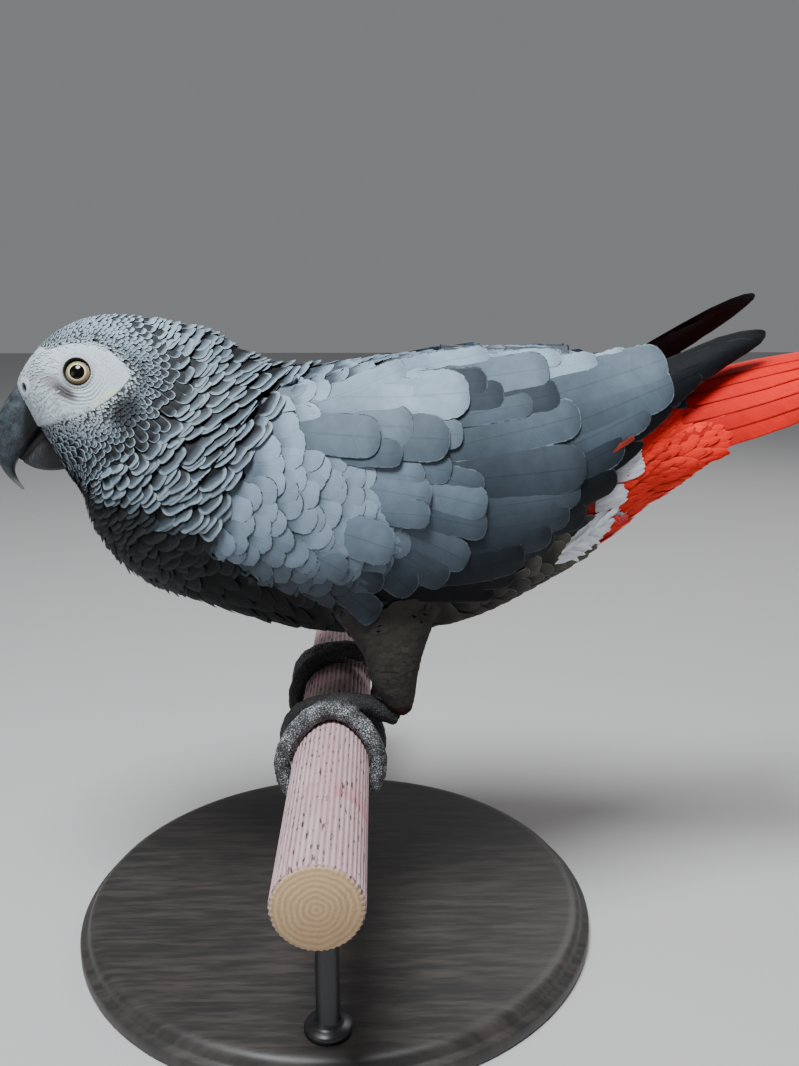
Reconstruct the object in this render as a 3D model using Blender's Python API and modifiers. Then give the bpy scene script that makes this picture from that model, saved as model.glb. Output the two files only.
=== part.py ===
"""A grey parrot in life size, standing on a short cut length of round perch.

The bird faces -X and leans forward, its tail is to +X and +Z is up. The perch runs along Y
and rests on two rods over a round base, whose underside is centred on the world's origin.
Places on the bird are given in millimetres: x along the bird, z over the top of the perch,
and y from the bird's middle plane, positive on its right side.
"""

from math import cos, log, pi, radians, sin

import bmesh
import bpy
from mathutils import Matrix, Vector
from mathutils.bvhtree import BVHTree

# ---- driving dimensions, metres unless a name says otherwise ----
MM = 0.001
GAP = 0.35 * MM  # between two pieces that meet
PERCH_RADIUS = 15 * MM
PERCH_HALF_LENGTH = 140 * MM
PERCH_TOP = 108 * MM  # height of the perch's upper side over the floor
BASE_RADIUS = 112 * MM
BASE_THICKNESS = 12 * MM
ROD_RADIUS = 4.5 * MM
ROD_SPREAD = 92 * MM  # each rod's distance from the middle plane

HEAD_YAW = radians(12)  # the head looks a little to the bird's left
NECK_PIVOT_X = -45  # the turn starts behind this point and is complete at the cheek
NECK_TURN = (-32, -78)

EYE_PLACE = (-96.8, 137.0)  # x, z
EYE_RADIUS = 6.6
EYE_CENTRE_Y = 14.6
STANCE = 31  # each foot's distance from the middle plane
TOE_RADIUS = 3.3
TOE_SWELL = 0.9  # a toe is this much thicker at its root
CLAW_RADIUS = 1.7
TOE_CLEARANCE = 0.5
CLAW_TIP_RADIUS = 0.3
CLAW_START = 3  # degrees of the perch between a toe's end and its claw
CLAW_WRAP = 40  # degrees of the perch that a claw runs round

# Colour and roughness of each kind of surface
GREY = (0.17, 0.19, 0.21), 0.8
DARK_GREY = (0.05, 0.055, 0.06), 0.75
RED = (0.65, 0.05, 0.03), 0.75
PALE = (0.42, 0.39, 0.34), 0.85
SKIN = (0.09, 0.09, 0.095), 0.8
BEAK = (0.03, 0.035, 0.04), 0.4
HORN = (0.03, 0.03, 0.032), 0.45
EYE = (0.7, 0.62, 0.35), 0.1
PERCH_LOOK = (0.6, 0.32, 0.33), 0.6
STAND_LOOK = (0.1, 0.1, 0.105), 0.45

# ---- small helpers ----


def place(x, y, z):
    """A point of the bird, from millimetres over the perch to metres over the floor."""
    return Vector((x * MM, y * MM, z * MM + PERCH_TOP))


def blend(low, high, value):
    """Smooth step from 0 at low to 1 at high."""
    share = min(1, max(0, (value - low) / (high - low)))
    return share * share * (3 - 2 * share)


def smooth_rows(rows, s):
    """Catmull-Rom value of a table of equal rows at the fractional row number s."""
    last = len(rows) - 1
    i = min(int(s), last - 1)
    t = s - i
    before, here, after, beyond = (rows[min(max(k, 0), last)] for k in (i - 1, i, i + 1, i + 2))
    return [
        0.5 * (2 * b + (c - a) * t + (2 * a - 5 * b + 4 * c - d) * t**2 + (3 * b - a - 3 * c + d) * t**3)
        for a, b, c, d in zip(before, here, after, beyond)
    ]


def spread(start, stop, count):
    return [start + (stop - start) * i / (count - 1) for i in range(count)]


def material(name, color, roughness, metallic=0.0):
    mat = bpy.data.materials.new(name)
    mat.use_nodes = True
    shader = mat.node_tree.nodes["Principled BSDF"]
    shader.inputs["Base Color"].default_value = (*color, 1)
    shader.inputs["Roughness"].default_value = roughness
    shader.inputs["Metallic"].default_value = metallic
    mat.diffuse_color = (*color, 1)
    return mat


def new_object(name, mesh, look, group):
    obj = bpy.data.objects.new(name, mesh)
    mesh.materials.clear()
    mesh.materials.append(material(name, *look))
    group.objects.link(obj)
    return obj


def from_bmesh(name, bm, look, group):
    """An object from a closed bmesh, with its faces turned outward and shaded smooth."""
    bmesh.ops.recalc_face_normals(bm, faces=bm.faces[:])
    mesh = bpy.data.meshes.new(name)
    bm.to_mesh(mesh)
    bm.free()
    mesh.shade_smooth()
    mesh.set_sharp_from_angle(angle=radians(45))
    return new_object(name, mesh, look, group)


def loft(name, rings, look, group, crescent=False):
    """A closed body through a row of rings of equal length.

    A fan closes each end. A crescent's ring runs out along one side and back along the other,
    and faces between the two sides close its ends.
    """
    bm = bmesh.new()
    rows = [[bm.verts.new(point) for point in ring] for ring in rings]
    count = len(rows[0])
    for low, high in zip(rows, rows[1:]):
        for i in range(count):
            j = (i + 1) % count
            bm.faces.new((low[i], low[j], high[j], high[i]))
    for row in (rows[0], rows[-1]):
        if crescent:
            for i in range(count // 2 - 1):
                bm.faces.new((row[i], row[i + 1], row[-2 - i], row[-1 - i]))
            continue
        middle = bm.verts.new(sum((v.co for v in row), Vector()) / count)
        for i, vert in enumerate(row):
            bm.faces.new((vert, row[(i + 1) % count], middle))
    return from_bmesh(name, bm, look, group)


def tube(name, path, radii, sides, look, group):
    """A round body along a path whose radius changes, with fans over its ends."""
    rings = []
    side = None
    for i, point in enumerate(path):
        along = (path[min(i + 1, len(path) - 1)] - path[max(i - 1, 0)]).normalized()
        side = (side or Vector((0, 1, 0.01))).cross(along).cross(along).normalized() * -1
        up = along.cross(side)
        angles = [2 * pi * k / sides for k in range(sides)]
        rings.append([point + radii[i] * MM * (cos(a) * side + sin(a) * up) for a in angles])
    return loft(name, rings, look, group)


def as_cutter(obj):
    obj.hide_render = True
    obj.display_type = "WIRE"
    return obj


def boolean(obj, other, operation="DIFFERENCE"):
    change = obj.modifiers.new(f"{operation.lower()} {other.name}", "BOOLEAN")
    change.object = other
    change.operation = operation
    change.solver = "EXACT"


# ---- the body: ribs from the beak's base to the undertail ----
# Each rib is a slice through head, neck or trunk:
# top x, top z, bottom x, bottom z, half width, share of the way down where it is widest,
# roundness of the outline (1 is an ellipse, smaller is squarer).
RIBS = (
    (-121.5, 131.5, -104.0, 96.0, 9.5, 0.50, 0.85),
    (-115.0, 142.0, -101.5, 93.0, 17.0, 0.52, 0.85),
    (-104.0, 151.5, -99.5, 89.5, 20.5, 0.52, 0.85),
    (-88.0, 157.0, -98.0, 84.0, 22.5, 0.55, 0.85),
    (-67.0, 155.3, -96.5, 77.0, 26.0, 0.58, 0.85),
    (-46.0, 149.8, -91.5, 68.5, 31.0, 0.56, 0.87),
    (-29.0, 139.8, -82.5, 57.0, 35.5, 0.55, 0.90),
    (-11.0, 137.0, -64.5, 46.0, 38.5, 0.53, 0.92),
    (12.0, 139.8, -37.0, 35.0, 39.0, 0.52, 0.95),
    (36.0, 141.0, -6.0, 28.0, 38.0, 0.52, 0.96),
    (58.0, 138.5, 26.0, 27.0, 36.5, 0.52, 0.97),
    (80.0, 134.0, 57.0, 32.5, 33.0, 0.50, 0.97),
    (102.0, 130.0, 84.0, 46.0, 28.5, 0.50, 0.97),
    (122.0, 127.5, 108.0, 61.0, 24.0, 0.48, 0.97),
    (138.0, 127.3, 127.5, 79.0, 20.0, 0.46, 0.97),
)
RING = 28


def turned(point_mm):
    """Swing a point of the head and neck to the bird's left about the neck's pivot."""
    x, y, z = point_mm
    angle = HEAD_YAW * blend(NECK_TURN[0], NECK_TURN[1], x)
    dx = x - NECK_PIVOT_X
    return place(NECK_PIVOT_X + dx * cos(angle) - y * sin(angle), dx * sin(angle) + y * cos(angle), z)


def rib_ring(s, grow=0.0):
    """The outline of the body at the fractional rib number s, grown by so many millimetres."""
    top_x, top_z, low_x, low_z, half_width, widest, roundness = smooth_rows(RIBS, s)
    down = Vector((low_x - top_x, 0, low_z - top_z))
    length = down.length
    down.normalize()
    ring = []
    for k in range(RING):
        angle = 2 * pi * k / RING
        lift = (1 - cos(angle)) / 2
        lift = lift ** (log(widest) / log(0.5))
        share = abs(sin(angle)) ** roundness * (1 if sin(angle) >= 0 else -1)
        reach = lift * (length + 2 * grow) - grow
        spot = Vector((top_x, 0, top_z)) + down * reach
        ring.append(turned((spot.x, share * (half_width + grow), spot.z)))
    return ring


def body_piece(name, start, stop, rows, group, grow=0.0):
    rings = [rib_ring(s, grow) for s in spread(start, stop, rows)]
    return loft(name, rings, GREY, group)


# ---- the tail ----
# Each slice: ridge x, z, outer edge x, z, half width, depth under the ridge.
TAIL = (
    (138.6, 127.5, 132.0, 98.0, 20.5, 49.0),
    (147.0, 130.5, 142.0, 98.5, 21.0, 42.0),
    (158.0, 134.0, 155.5, 104.0, 22.0, 25.0),
    (172.0, 137.0, 170.0, 110.5, 23.0, 9.0),
    (188.0, 139.5, 186.0, 117.5, 24.0, 3.5),
    (201.0, 141.5, 198.5, 125.0, 22.0, 2.6),
    (210.0, 142.8, 208.0, 134.5, 13.0, 1.8),
)
TAIL_SIDES = 12
TAIL_EDGE = 1.2


def tail_ring(s):
    """A slice across the roof-shaped tail: an arch on top and a shallower one under it."""
    ridge_x, ridge_z, edge_x, edge_z, half_width, depth = smooth_rows(TAIL, s)
    ridge = Vector((ridge_x, 0, ridge_z))
    fall = Vector((edge_x - ridge_x, 0, edge_z - ridge_z))
    upper, lower = [], []
    for k in range(TAIL_SIDES + 1):
        angle = pi * (k / TAIL_SIDES - 0.5)
        roof = ridge + fall * (1 - cos(angle)) + Vector((0, half_width * sin(angle), 0))
        under = roof + fall.normalized() * max(TAIL_EDGE, depth * cos(angle))
        under.y *= 1 - TAIL_EDGE / half_width
        upper.append(place(*roof))
        lower.append(place(*under))
    return upper + lower[::-1]


# ---- the wings ----
# Each station runs across the folded wing: upper edge x, z, y, lower edge x, z, y, how far the
# outside bows out between them, and the thickness.
WING = (
    (-19.0, 131.0, 27.0, -54.0, 79.5, 40.0, 8.0, 4.5),
    (-7.0, 134.0, 24.0, -35.0, 64.5, 41.0, 13.0, 5.0),
    (9.0, 138.2, 20.0, -13.0, 53.5, 40.0, 17.5, 5.0),
    (27.0, 141.7, 15.0, 11.0, 45.5, 37.0, 21.0, 5.0),
    (45.0, 144.0, 10.5, 37.0, 49.0, 34.0, 23.0, 4.5),
    (64.0, 144.8, 7.5, 62.0, 52.5, 33.0, 21.5, 4.0),
    (84.0, 144.8, 5.5, 85.0, 69.0, 30.0, 19.0, 3.5),
    (104.0, 144.5, 5.0, 106.0, 86.0, 27.0, 14.0, 3.0),
    (124.0, 144.8, 5.5, 127.0, 110.5, 22.0, 8.0, 2.6),
    (144.0, 147.5, 6.5, 145.5, 130.0, 18.0, 5.0, 2.2),
    (159.0, 150.0, 7.5, 160.0, 140.5, 14.0, 3.0, 1.8),
    (172.0, 149.8, 9.0, 173.5, 145.0, 11.0, 1.0, 1.5),
)
WING_ROWS = 10
COVERT_END = 4.55
SECONDARY_END = 6.6
WING_TIP = 11.0
WING_SEAM = 0.03  # the gap between two lengths of the wing, in stations
EDGE_THICKNESS = 0.9
BODY_CLEARANCE = 1.2  # between the body and the inner side of a wing
RIGHT_TIP_LIFT = 13.5
RIGHT_TIP_OUT = 7.0


def body_tree():
    """The body and the tail as one set of faces for a wing to lie on."""
    bm = bmesh.new()
    rings = [rib_ring(s) for s in spread(4, len(RIBS) - 1, 40)]
    rings += [tail_ring(s) for s in spread(0, len(TAIL) - 1, 20)]
    for ring in rings:
        for point in ring:
            bm.verts.new(point)
    bm.verts.ensure_lookup_table()
    start = 0
    for low, high in zip(rings, rings[1:]):
        count = len(low)
        for i in range(count if len(high) == count else 0):
            j = (i + 1) % count
            corners = (start + i, start + j, start + count + j, start + count + i)
            bm.faces.new([bm.verts[c] for c in corners])
        start += count
    tree = BVHTree.FromBMesh(bm)
    bm.free()
    return tree


def wing_ring(u, side, body):
    """A closed slice across one wing, whose inner side lies close over the body."""
    top_x, top_z, top_y, low_x, low_z, low_y, bow, thickness = smooth_rows(WING, u)
    raised = max(0, (u - 7.8) / 3.2) if side > 0 else 0
    lift = Vector((raised * 3, raised * RIGHT_TIP_OUT, raised * RIGHT_TIP_LIFT))
    top = Vector((top_x, top_y, top_z)) + lift
    low = Vector((low_x, low_y, low_z)) + lift
    across = low - top
    outward = Vector((0, abs(across.z), across.y)).normalized()
    outer, inner = [], []
    for v in spread(0, 1, WING_ROWS):
        point = top + across * v + outward * bow * sin(pi * v) ** 0.7
        depth = thickness * min(1, 5 * min(v, 1 - v) + EDGE_THICKNESS / thickness)
        high, deep = lay_on(body, point, outward, depth)
        outer.append(high)
        inner.append(deep)
    return [place(p.x, p.y * side, p.z) for p in outer + inner[::-1]]


def lay_on(body, point, outward, depth):
    """The outer and inner point of a wing that is this deep where the body leaves it room."""
    far = point + outward * 40
    hit = body.ray_cast(place(*far), -outward)
    if hit[0]:
        surface = far - outward * (hit[3] / MM)
        height = (point - surface).dot(outward)
        least = BODY_CLEARANCE + EDGE_THICKNESS
        if height < least:
            point = surface + outward * least
            height = least
        depth = max(EDGE_THICKNESS, min(depth, height - BODY_CLEARANCE))
    return point, point - outward * depth


def wing_piece(name, start, stop, rows, side, body, look, group):
    rings = [wing_ring(u, side, body) for u in spread(start, stop, rows)]
    return loft(name, rings, look, group, crescent=True)


# ---- beak ----
# Each rib: culmen x, z, cutting edge x, z, half width.
UPPER_BEAK = (
    (-122.2, 129.6, -111.4, 118.6, 8.4),
    (-126.6, 123.6, -114.0, 115.6, 8.2),
    (-129.8, 116.8, -117.6, 111.6, 7.4),
    (-131.2, 109.8, -120.8, 106.8, 6.2),
    (-130.6, 103.2, -123.4, 101.8, 4.6),
    (-128.6, 97.8, -123.9, 97.4, 3.0),
    (-125.8, 93.8, -122.9, 94.0, 1.7),
    (-122.6, 90.9, -121.4, 91.3, 0.7),
)
LOWER_BEAK = (
    (-109.3, 115.2, -105.9, 96.9, 7.7),
    (-112.0, 112.6, -109.0, 96.0, 7.5),
    (-115.2, 109.2, -112.8, 95.9, 6.8),
    (-118.6, 105.2, -116.6, 96.9, 5.6),
    (-121.6, 101.6, -119.8, 98.8, 3.8),
)
BEAK_SIDES = 16


def beak_ring(rib, roundness, widest, grow):
    top_x, top_z, low_x, low_z, half_width = rib
    top, low = Vector((top_x, 0, top_z)), Vector((low_x, 0, low_z))
    down = (low - top).normalized() * grow
    top, low = top - down, low + down
    ring = []
    for k in range(BEAK_SIDES):
        angle = 2 * pi * (k + 0.5) / BEAK_SIDES
        lift = ((1 - cos(angle)) / 2) ** (log(widest) / log(0.5))
        share = abs(sin(angle)) ** roundness * (1 if sin(angle) >= 0 else -1)
        spot = top.lerp(low, lift)
        ring.append(turned((spot.x, share * (half_width + grow), spot.z)))
    return ring


def beak_half(name, ribs, rows, roundness, widest, head, parts, cutters):
    """One half of the beak, and the room that the head leaves for its root."""
    for group, grow in ((parts, 0.0), (cutters, GAP / MM)):
        table = [list(rib) for rib in ribs]
        backward = Vector(ribs[0][:2]) - Vector(ribs[1][:2])
        shift = backward.normalized() * grow * 1.5
        for column in (0, 2):
            table[0][column] += shift.x
            table[0][column + 1] += shift.y
        shares = spread(0, len(table) - 1, rows)
        rings = [beak_ring(smooth_rows(table, s), roundness, widest, grow) for s in shares]
        piece = loft(name if group is parts else f"{name}_room", rings, BEAK, group)
    boolean(head, as_cutter(piece))


# ---- eyes ----


def ball(name, centre, radius, look, group):
    bm = bmesh.new()
    bmesh.ops.create_uvsphere(bm, u_segments=14, v_segments=9, radius=radius)
    sideways = Matrix.Translation(centre) @ Matrix.Rotation(pi / 2, 4, "X")
    bmesh.ops.transform(bm, matrix=sideways, verts=bm.verts)
    return from_bmesh(name, bm, look, group)


# ---- legs ----
# Each station of the thigh: x, z, distance from the middle plane, half length along the bird,
# half width across.
THIGH = (
    (18.0, 50.0, 24.5, 24.0, 9.0),
    (22.0, 39.0, 26.0, 19.5, 10.0),
    (24.5, 26.0, 27.5, 12.5, 10.0),
    (25.0, 14.0, 28.0, 9.5, 8.5),
    (27.0, 5.0, 28.0, 6.5, 6.5),
    (28.0, 0.0, 28.0, 4.0, 4.5),
)
# The shank from heel to the top of the perch: x, z, how far it lies inside the foot's middle.
SHANK = (
    (26.5, -1.8, 3.0),
    (21.0, 1.0, 2.5),
    (14.0, 4.6, 1.5),
    (6.0, 6.0, 0.5),
    (0.0, 5.6, 0.0),
    (-5.0, 4.4, 0.0),
)
SHANK_RADII = (3.6, 4.4, 4.0, 4.4, 4.4, 3.2)


def thigh_ring(s, side):
    x, z, y, along, across = smooth_rows(THIGH, s)
    angles = [2 * pi * k / 16 for k in range(16)]
    return [place(x + along * cos(a), side * (y + across * sin(a)), z) for a in angles]


def round_perch(side, forward, y_end, wrap, first, last, radii):
    """Points of a toe or claw that leaves the foot and winds down round the perch."""
    points = []
    for share, radius in zip(spread(first, last, len(radii)), radii):
        angle = radians(90 + (wrap * share if forward else -wrap * share))
        reach = PERCH_RADIUS / MM + radius + TOE_CLEARANCE
        y = side * (STANCE + (y_end - STANCE) * (0.25 + 0.75 * blend(0, 0.6, share)))
        points.append(place(reach * cos(angle), y, reach * sin(angle) - PERCH_RADIUS / MM))
    return points


# ---- assembly ----
SIDES = {"left": -1, "right": 1}
TOE_ROOTS = {True: -0.1, False: -0.14}  # where a front or a rear toe starts inside the foot
# toe: forward, distance from the middle plane at its end, wrap in degrees
TOES = {
    "outer_front": (True, 44.5, 124),
    "inner_front": (True, 22.0, 112),
    "outer_rear": (False, 43.5, 122),
    "inner_rear": (False, 24.0, 100),
}


def stand(group):
    """The perch, its two rods and the round base, all plain turned pieces."""
    turn = Matrix.Rotation(pi / 2, 4, "X")
    perch_centre = Vector((0, 0, PERCH_TOP - PERCH_RADIUS))
    perch_size = PERCH_RADIUS, 2 * PERCH_HALF_LENGTH
    cylinder("perch", perch_centre, *perch_size, 32, 1.2 * MM, PERCH_LOOK, group, turn)
    base_centre = Vector((0, 0, BASE_THICKNESS / 2))
    cylinder("stand_base", base_centre, BASE_RADIUS, BASE_THICKNESS, 48, 2 * MM, STAND_LOOK, group)
    low = BASE_THICKNESS + GAP
    high = PERCH_TOP - 2 * PERCH_RADIUS - GAP
    for name, y in (("near", -ROD_SPREAD), ("far", ROD_SPREAD)):
        centre = Vector((0, y, (low + high) / 2))
        cylinder(f"stand_rod_{name}", centre, ROD_RADIUS, high - low, 20, 0.0, STAND_LOOK, group)


def cylinder(name, centre, radius, length, sides, rounding, look, group, turn=Matrix()):
    bm = bmesh.new()
    bmesh.ops.create_cone(
        bm, cap_ends=True, segments=sides, radius1=radius, radius2=radius, depth=length
    )
    bmesh.ops.transform(bm, matrix=Matrix.Translation(centre) @ turn, verts=bm.verts)
    obj = from_bmesh(name, bm, look, group)
    if rounding:
        edge = obj.modifiers.new("rounded edge", "BEVEL")
        edge.width = rounding
        edge.segments = 1
        edge.limit_method = "ANGLE"
        edge.angle_limit = radians(50)


def leg(name, side, trunk_room, parts, cutters):
    """A feathered thigh, the foot with its four toes in one piece, and four claws."""
    rings = [thigh_ring(s, side) for s in spread(0, len(THIGH) - 1, 11)]
    thigh = loft(f"thigh_{name}", rings, PALE, parts)
    shank = [place(x, side * (STANCE - inward), z) for x, z, inward in SHANK]
    foot = tube(f"foot_{name}", shank, SHANK_RADII, 10, SKIN, parts)
    start = shank[0] + (shank[0] - shank[1]).normalized() * 2 * GAP
    room_radii = [radius + 1.4 * GAP / MM for radius in SHANK_RADII]
    room = tube(f"shank_{name}_room", [start] + shank[1:], room_radii, 10, SKIN, cutters)
    boolean(thigh, as_cutter(room))
    boolean(thigh, trunk_room)
    claw_radii = [CLAW_RADIUS * (1 - share) ** 0.7 + CLAW_TIP_RADIUS for share in spread(0, 1, 5)]
    for toe, (forward, y_end, wrap) in TOES.items():
        first = TOE_ROOTS[forward]
        toe_radii = [TOE_RADIUS + TOE_SWELL * (1 - share) for share in spread(first, 1, 8)]
        path = round_perch(side, forward, y_end, wrap, first, 1.0, toe_radii)
        body = tube(f"toe_{name}_{toe}", path, toe_radii, 8, SKIN, cutters)
        boolean(foot, as_cutter(body), "UNION")
        start = 1 + CLAW_START / wrap
        path = round_perch(side, forward, y_end, wrap, start, start + CLAW_WRAP / wrap, claw_radii)
        tube(f"claw_{name}_{toe}", path, claw_radii, 6, HORN, parts)


def main():
    for obj in list(bpy.data.objects):
        bpy.data.objects.remove(obj)
    parts = bpy.data.collections.new("grey_parrot")
    cutters = bpy.data.collections.new("cutters")
    for group in (parts, cutters):
        bpy.context.scene.collection.children.link(group)

    head = body_piece("head", 0.0, 3.93, 13, parts)
    body_piece("neck", 4.0, 6.0, 7, parts)
    body_piece("trunk", 6.06, 11.97, 13, parts)
    body_piece("vent", 12.03, 13.97, 6, parts)
    trunk_room = as_cutter(body_piece("trunk_room", 6.06, 11.97, 13, cutters, GAP / MM))
    loft("tail", [tail_ring(s) for s in spread(0.04, len(TAIL) - 1, 12)], RED, parts, True)
    beak_half("upper_beak", UPPER_BEAK, 12, 0.75, 0.62, head, parts, cutters)
    beak_half("lower_beak", LOWER_BEAK, 6, 0.7, 0.45, head, parts, cutters)
    body = body_tree()
    lengths = {
        "coverts": (0.0, COVERT_END, 11, GREY),
        "secondaries": (COVERT_END + WING_SEAM, SECONDARY_END, 6, GREY),
        "primaries": (SECONDARY_END + WING_SEAM, WING_TIP, 8, DARK_GREY),
    }
    for name, side in SIDES.items():
        x, z = EYE_PLACE
        centre = turned((x, side * EYE_CENTRE_Y, z))
        ball(f"eye_{name}", centre, EYE_RADIUS * MM, EYE, parts)
        socket = ball(f"socket_{name}", centre, EYE_RADIUS * MM + GAP, SKIN, cutters)
        boolean(head, as_cutter(socket))
        for part, (start, stop, rows, look) in lengths.items():
            wing_piece(f"wing_{name}_{part}", start, stop, rows, side, body, look, parts)
        leg(name, side, trunk_room, parts, cutters)
    stand(parts)


main()
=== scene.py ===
# %% [markdown]
# # A grey parrot on a short perch
#
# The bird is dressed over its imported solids: one skin for everything that is flesh, and over
# it thousands of separate feathers that overlap as roof tiles do. The beak, eyes, feet,
# claws, perch and stand are pieces of their own.
#
# All the places on the bird are written in millimetres, with x along the bird, z over the
# top of the perch and y from its middle plane. That keeps the numbers easy to read, and one
# step at the end turns them into metres over the floor.

# %% Load the solids
from math import atan2, cos, hypot, log, pi, radians, sin

import bmesh
import bpy
import numpy as np
from mathutils import Matrix, Vector, noise
from mathutils.bvhtree import BVHTree


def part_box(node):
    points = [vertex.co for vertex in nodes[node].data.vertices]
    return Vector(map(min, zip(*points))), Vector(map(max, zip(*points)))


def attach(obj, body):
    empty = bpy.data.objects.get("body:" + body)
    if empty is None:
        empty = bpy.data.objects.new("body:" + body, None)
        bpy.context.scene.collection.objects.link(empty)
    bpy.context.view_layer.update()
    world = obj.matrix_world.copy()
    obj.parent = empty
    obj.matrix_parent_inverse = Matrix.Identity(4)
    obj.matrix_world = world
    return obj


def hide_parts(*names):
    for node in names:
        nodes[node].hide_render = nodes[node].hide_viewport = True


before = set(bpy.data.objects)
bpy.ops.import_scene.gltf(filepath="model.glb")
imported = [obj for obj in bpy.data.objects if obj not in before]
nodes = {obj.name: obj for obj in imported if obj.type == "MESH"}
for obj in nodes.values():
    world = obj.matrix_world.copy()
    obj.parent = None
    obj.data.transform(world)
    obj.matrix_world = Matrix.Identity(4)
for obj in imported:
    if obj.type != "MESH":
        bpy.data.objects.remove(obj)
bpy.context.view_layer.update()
MM = 0.001
PERCH_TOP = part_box("perch")[1].z
TO_BIRD = Matrix.Scale(1 / MM, 4) @ Matrix.Translation((0, 0, -PERCH_TOP))
TO_WORLD = TO_BIRD.inverted()
chance = np.random.default_rng(11)
print(f"{len(nodes)} solids; the perch's top is {PERCH_TOP:.3f} m over the floor")

# %% [markdown]
# ## Writing shader maths as plain expressions
#
# A procedural finish is a graph of nodes. Drawing it by hand is slow to read in a script, so
# one small class wraps a socket and lets `a * 2 + b` add the Math nodes. Every other node
# comes from one method that takes its type, its settings and the values of its sockets.


# %% A socket that can be used in arithmetic, and a material made of such sockets
class Wire:
    """An output socket that adds a Math node when it is used in an expression."""

    def __init__(self, look, socket):
        self.look, self.socket = look, socket

    def math(self, operation, *values):
        return self.look.node("Math", {"operation": operation}, dict(enumerate(values)))

    def __add__(self, other):
        return self.math("ADD", self, other)

    def __sub__(self, other):
        return self.math("SUBTRACT", self, other)

    def __rsub__(self, other):
        return self.math("SUBTRACT", other, self)

    def __mul__(self, other):
        return self.math("MULTIPLY", self, other)

    def __pow__(self, other):
        return self.math("POWER", self, other)

    def __abs__(self):
        return self.math("ABSOLUTE", self)

    __radd__, __rmul__ = __add__, __mul__

    def step(self, low, high):
        """0 below low and 1 above high, with a soft change between them."""
        settings = {"interpolation_type": "SMOOTHSTEP"}
        return self.look.node("MapRange", settings, {0: self, 1: low, 2: high})

    def wave(self):
        """The sine of the value, which makes even stripes of it."""
        return self.math("SINE", self)


class Look:
    """A Principled material whose nodes are written as expressions."""

    def __init__(self, name):
        self.material = bpy.data.materials.new(name)
        self.material.use_nodes = True
        self.tree = self.material.node_tree
        self.shader = self.tree.nodes["Principled BSDF"]

    def node(self, kind, settings=(), inputs=(), output=0):
        """Any node, from its type, its settings and the values or links of its sockets."""
        made = self.tree.nodes.new("ShaderNode" + kind)
        settings = dict(settings)
        for place, (position, colour) in enumerate(settings.pop("stops", ())):
            while len(made.color_ramp.elements) <= place:
                made.color_ramp.elements.new(1.0)
            stop = made.color_ramp.elements[place]
            stop.position, stop.color = position, (*colour, 1)
        for name, value in settings.items():
            setattr(made, name, value)
        for key, value in dict(inputs).items():
            if isinstance(value, Wire):
                self.tree.links.new(value.socket, made.inputs[key])
            else:
                made.inputs[key].default_value = value
        return Wire(self, made.outputs[output])

    def mix(self, share, first, second):
        """A share of the second colour laid over the first."""
        pair = [v if isinstance(v, Wire) else (*v, 1) for v in (first, second)]
        return self.node("Mix", {"data_type": "RGBA"}, {0: share, 6: pair[0], 7: pair[1]}, 2)

    def scaled(self, colour, share):
        """The colour made darker or lighter by a share of itself."""
        return self.node("VectorMath", {"operation": "SCALE"}, {0: colour, 3: share})

    def spot(self):
        """The place on the piece, in metres."""
        return self.node("TexCoord", output="Object")

    def stretched(self, scale, turn=(0, 0, 0)):
        """The place on the piece, turned and then scaled along each axis."""
        return self.node("Mapping", (), {0: self.spot(), 2: turn, 3: scale})

    def stored(self, name, output=0):
        """A colour that the mesh holds at each point; output 3 is its fourth number."""
        return self.node("Attribute", {"attribute_name": name}, (), output)

    def noise(self, scale, detail=4.0, where=None):
        inputs = {"Vector": where or self.spot(), "Scale": scale, "Detail": detail, "Roughness": 0.55}
        return self.node("TexNoise", (), inputs)

    def cells(self, scale, feature, output=0):
        """Pebble-shaped cells: the distance to a middle or an edge, or with output 1 a colour each."""
        return self.node("TexVoronoi", {"feature": feature}, {"Vector": self.spot(), "Scale": scale}, output)

    def axes(self, where):
        """The three parts of a vector or a colour."""
        made = self.node("SeparateXYZ", (), {0: where})
        return [Wire(self, socket) for socket in made.socket.node.outputs]

    def bump(self, height, distance, strength=1.0):
        inputs = {"Height": height, "Distance": distance, "Strength": strength}
        return self.node("Bump", (), inputs)

    def finish(self, **sockets):
        """The material, with its shader's sockets linked or set."""
        for name, value in sockets.items():
            socket = self.shader.inputs[name.replace("_", " ")]
            if isinstance(value, Wire):
                self.tree.links.new(value.socket, socket)
            elif isinstance(value, tuple):
                socket.default_value = (*value, 1)
            else:
                socket.default_value = value
        return self.material


print("shader helpers ready")

# %% [markdown]
# ## The lines of the body
#
# A feather needs to know where it grows and which way it lies. Both follow from the same
# ribs that the solids were lofted through: a point of the body is a rib number and an angle
# round it, and a feather points the way the rib number grows. Walking over the surface of
# a mesh would also work, but the ribs fan out round the throat just as the rows of feathers
# do, so they give the lie of the coat for nothing.

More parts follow.
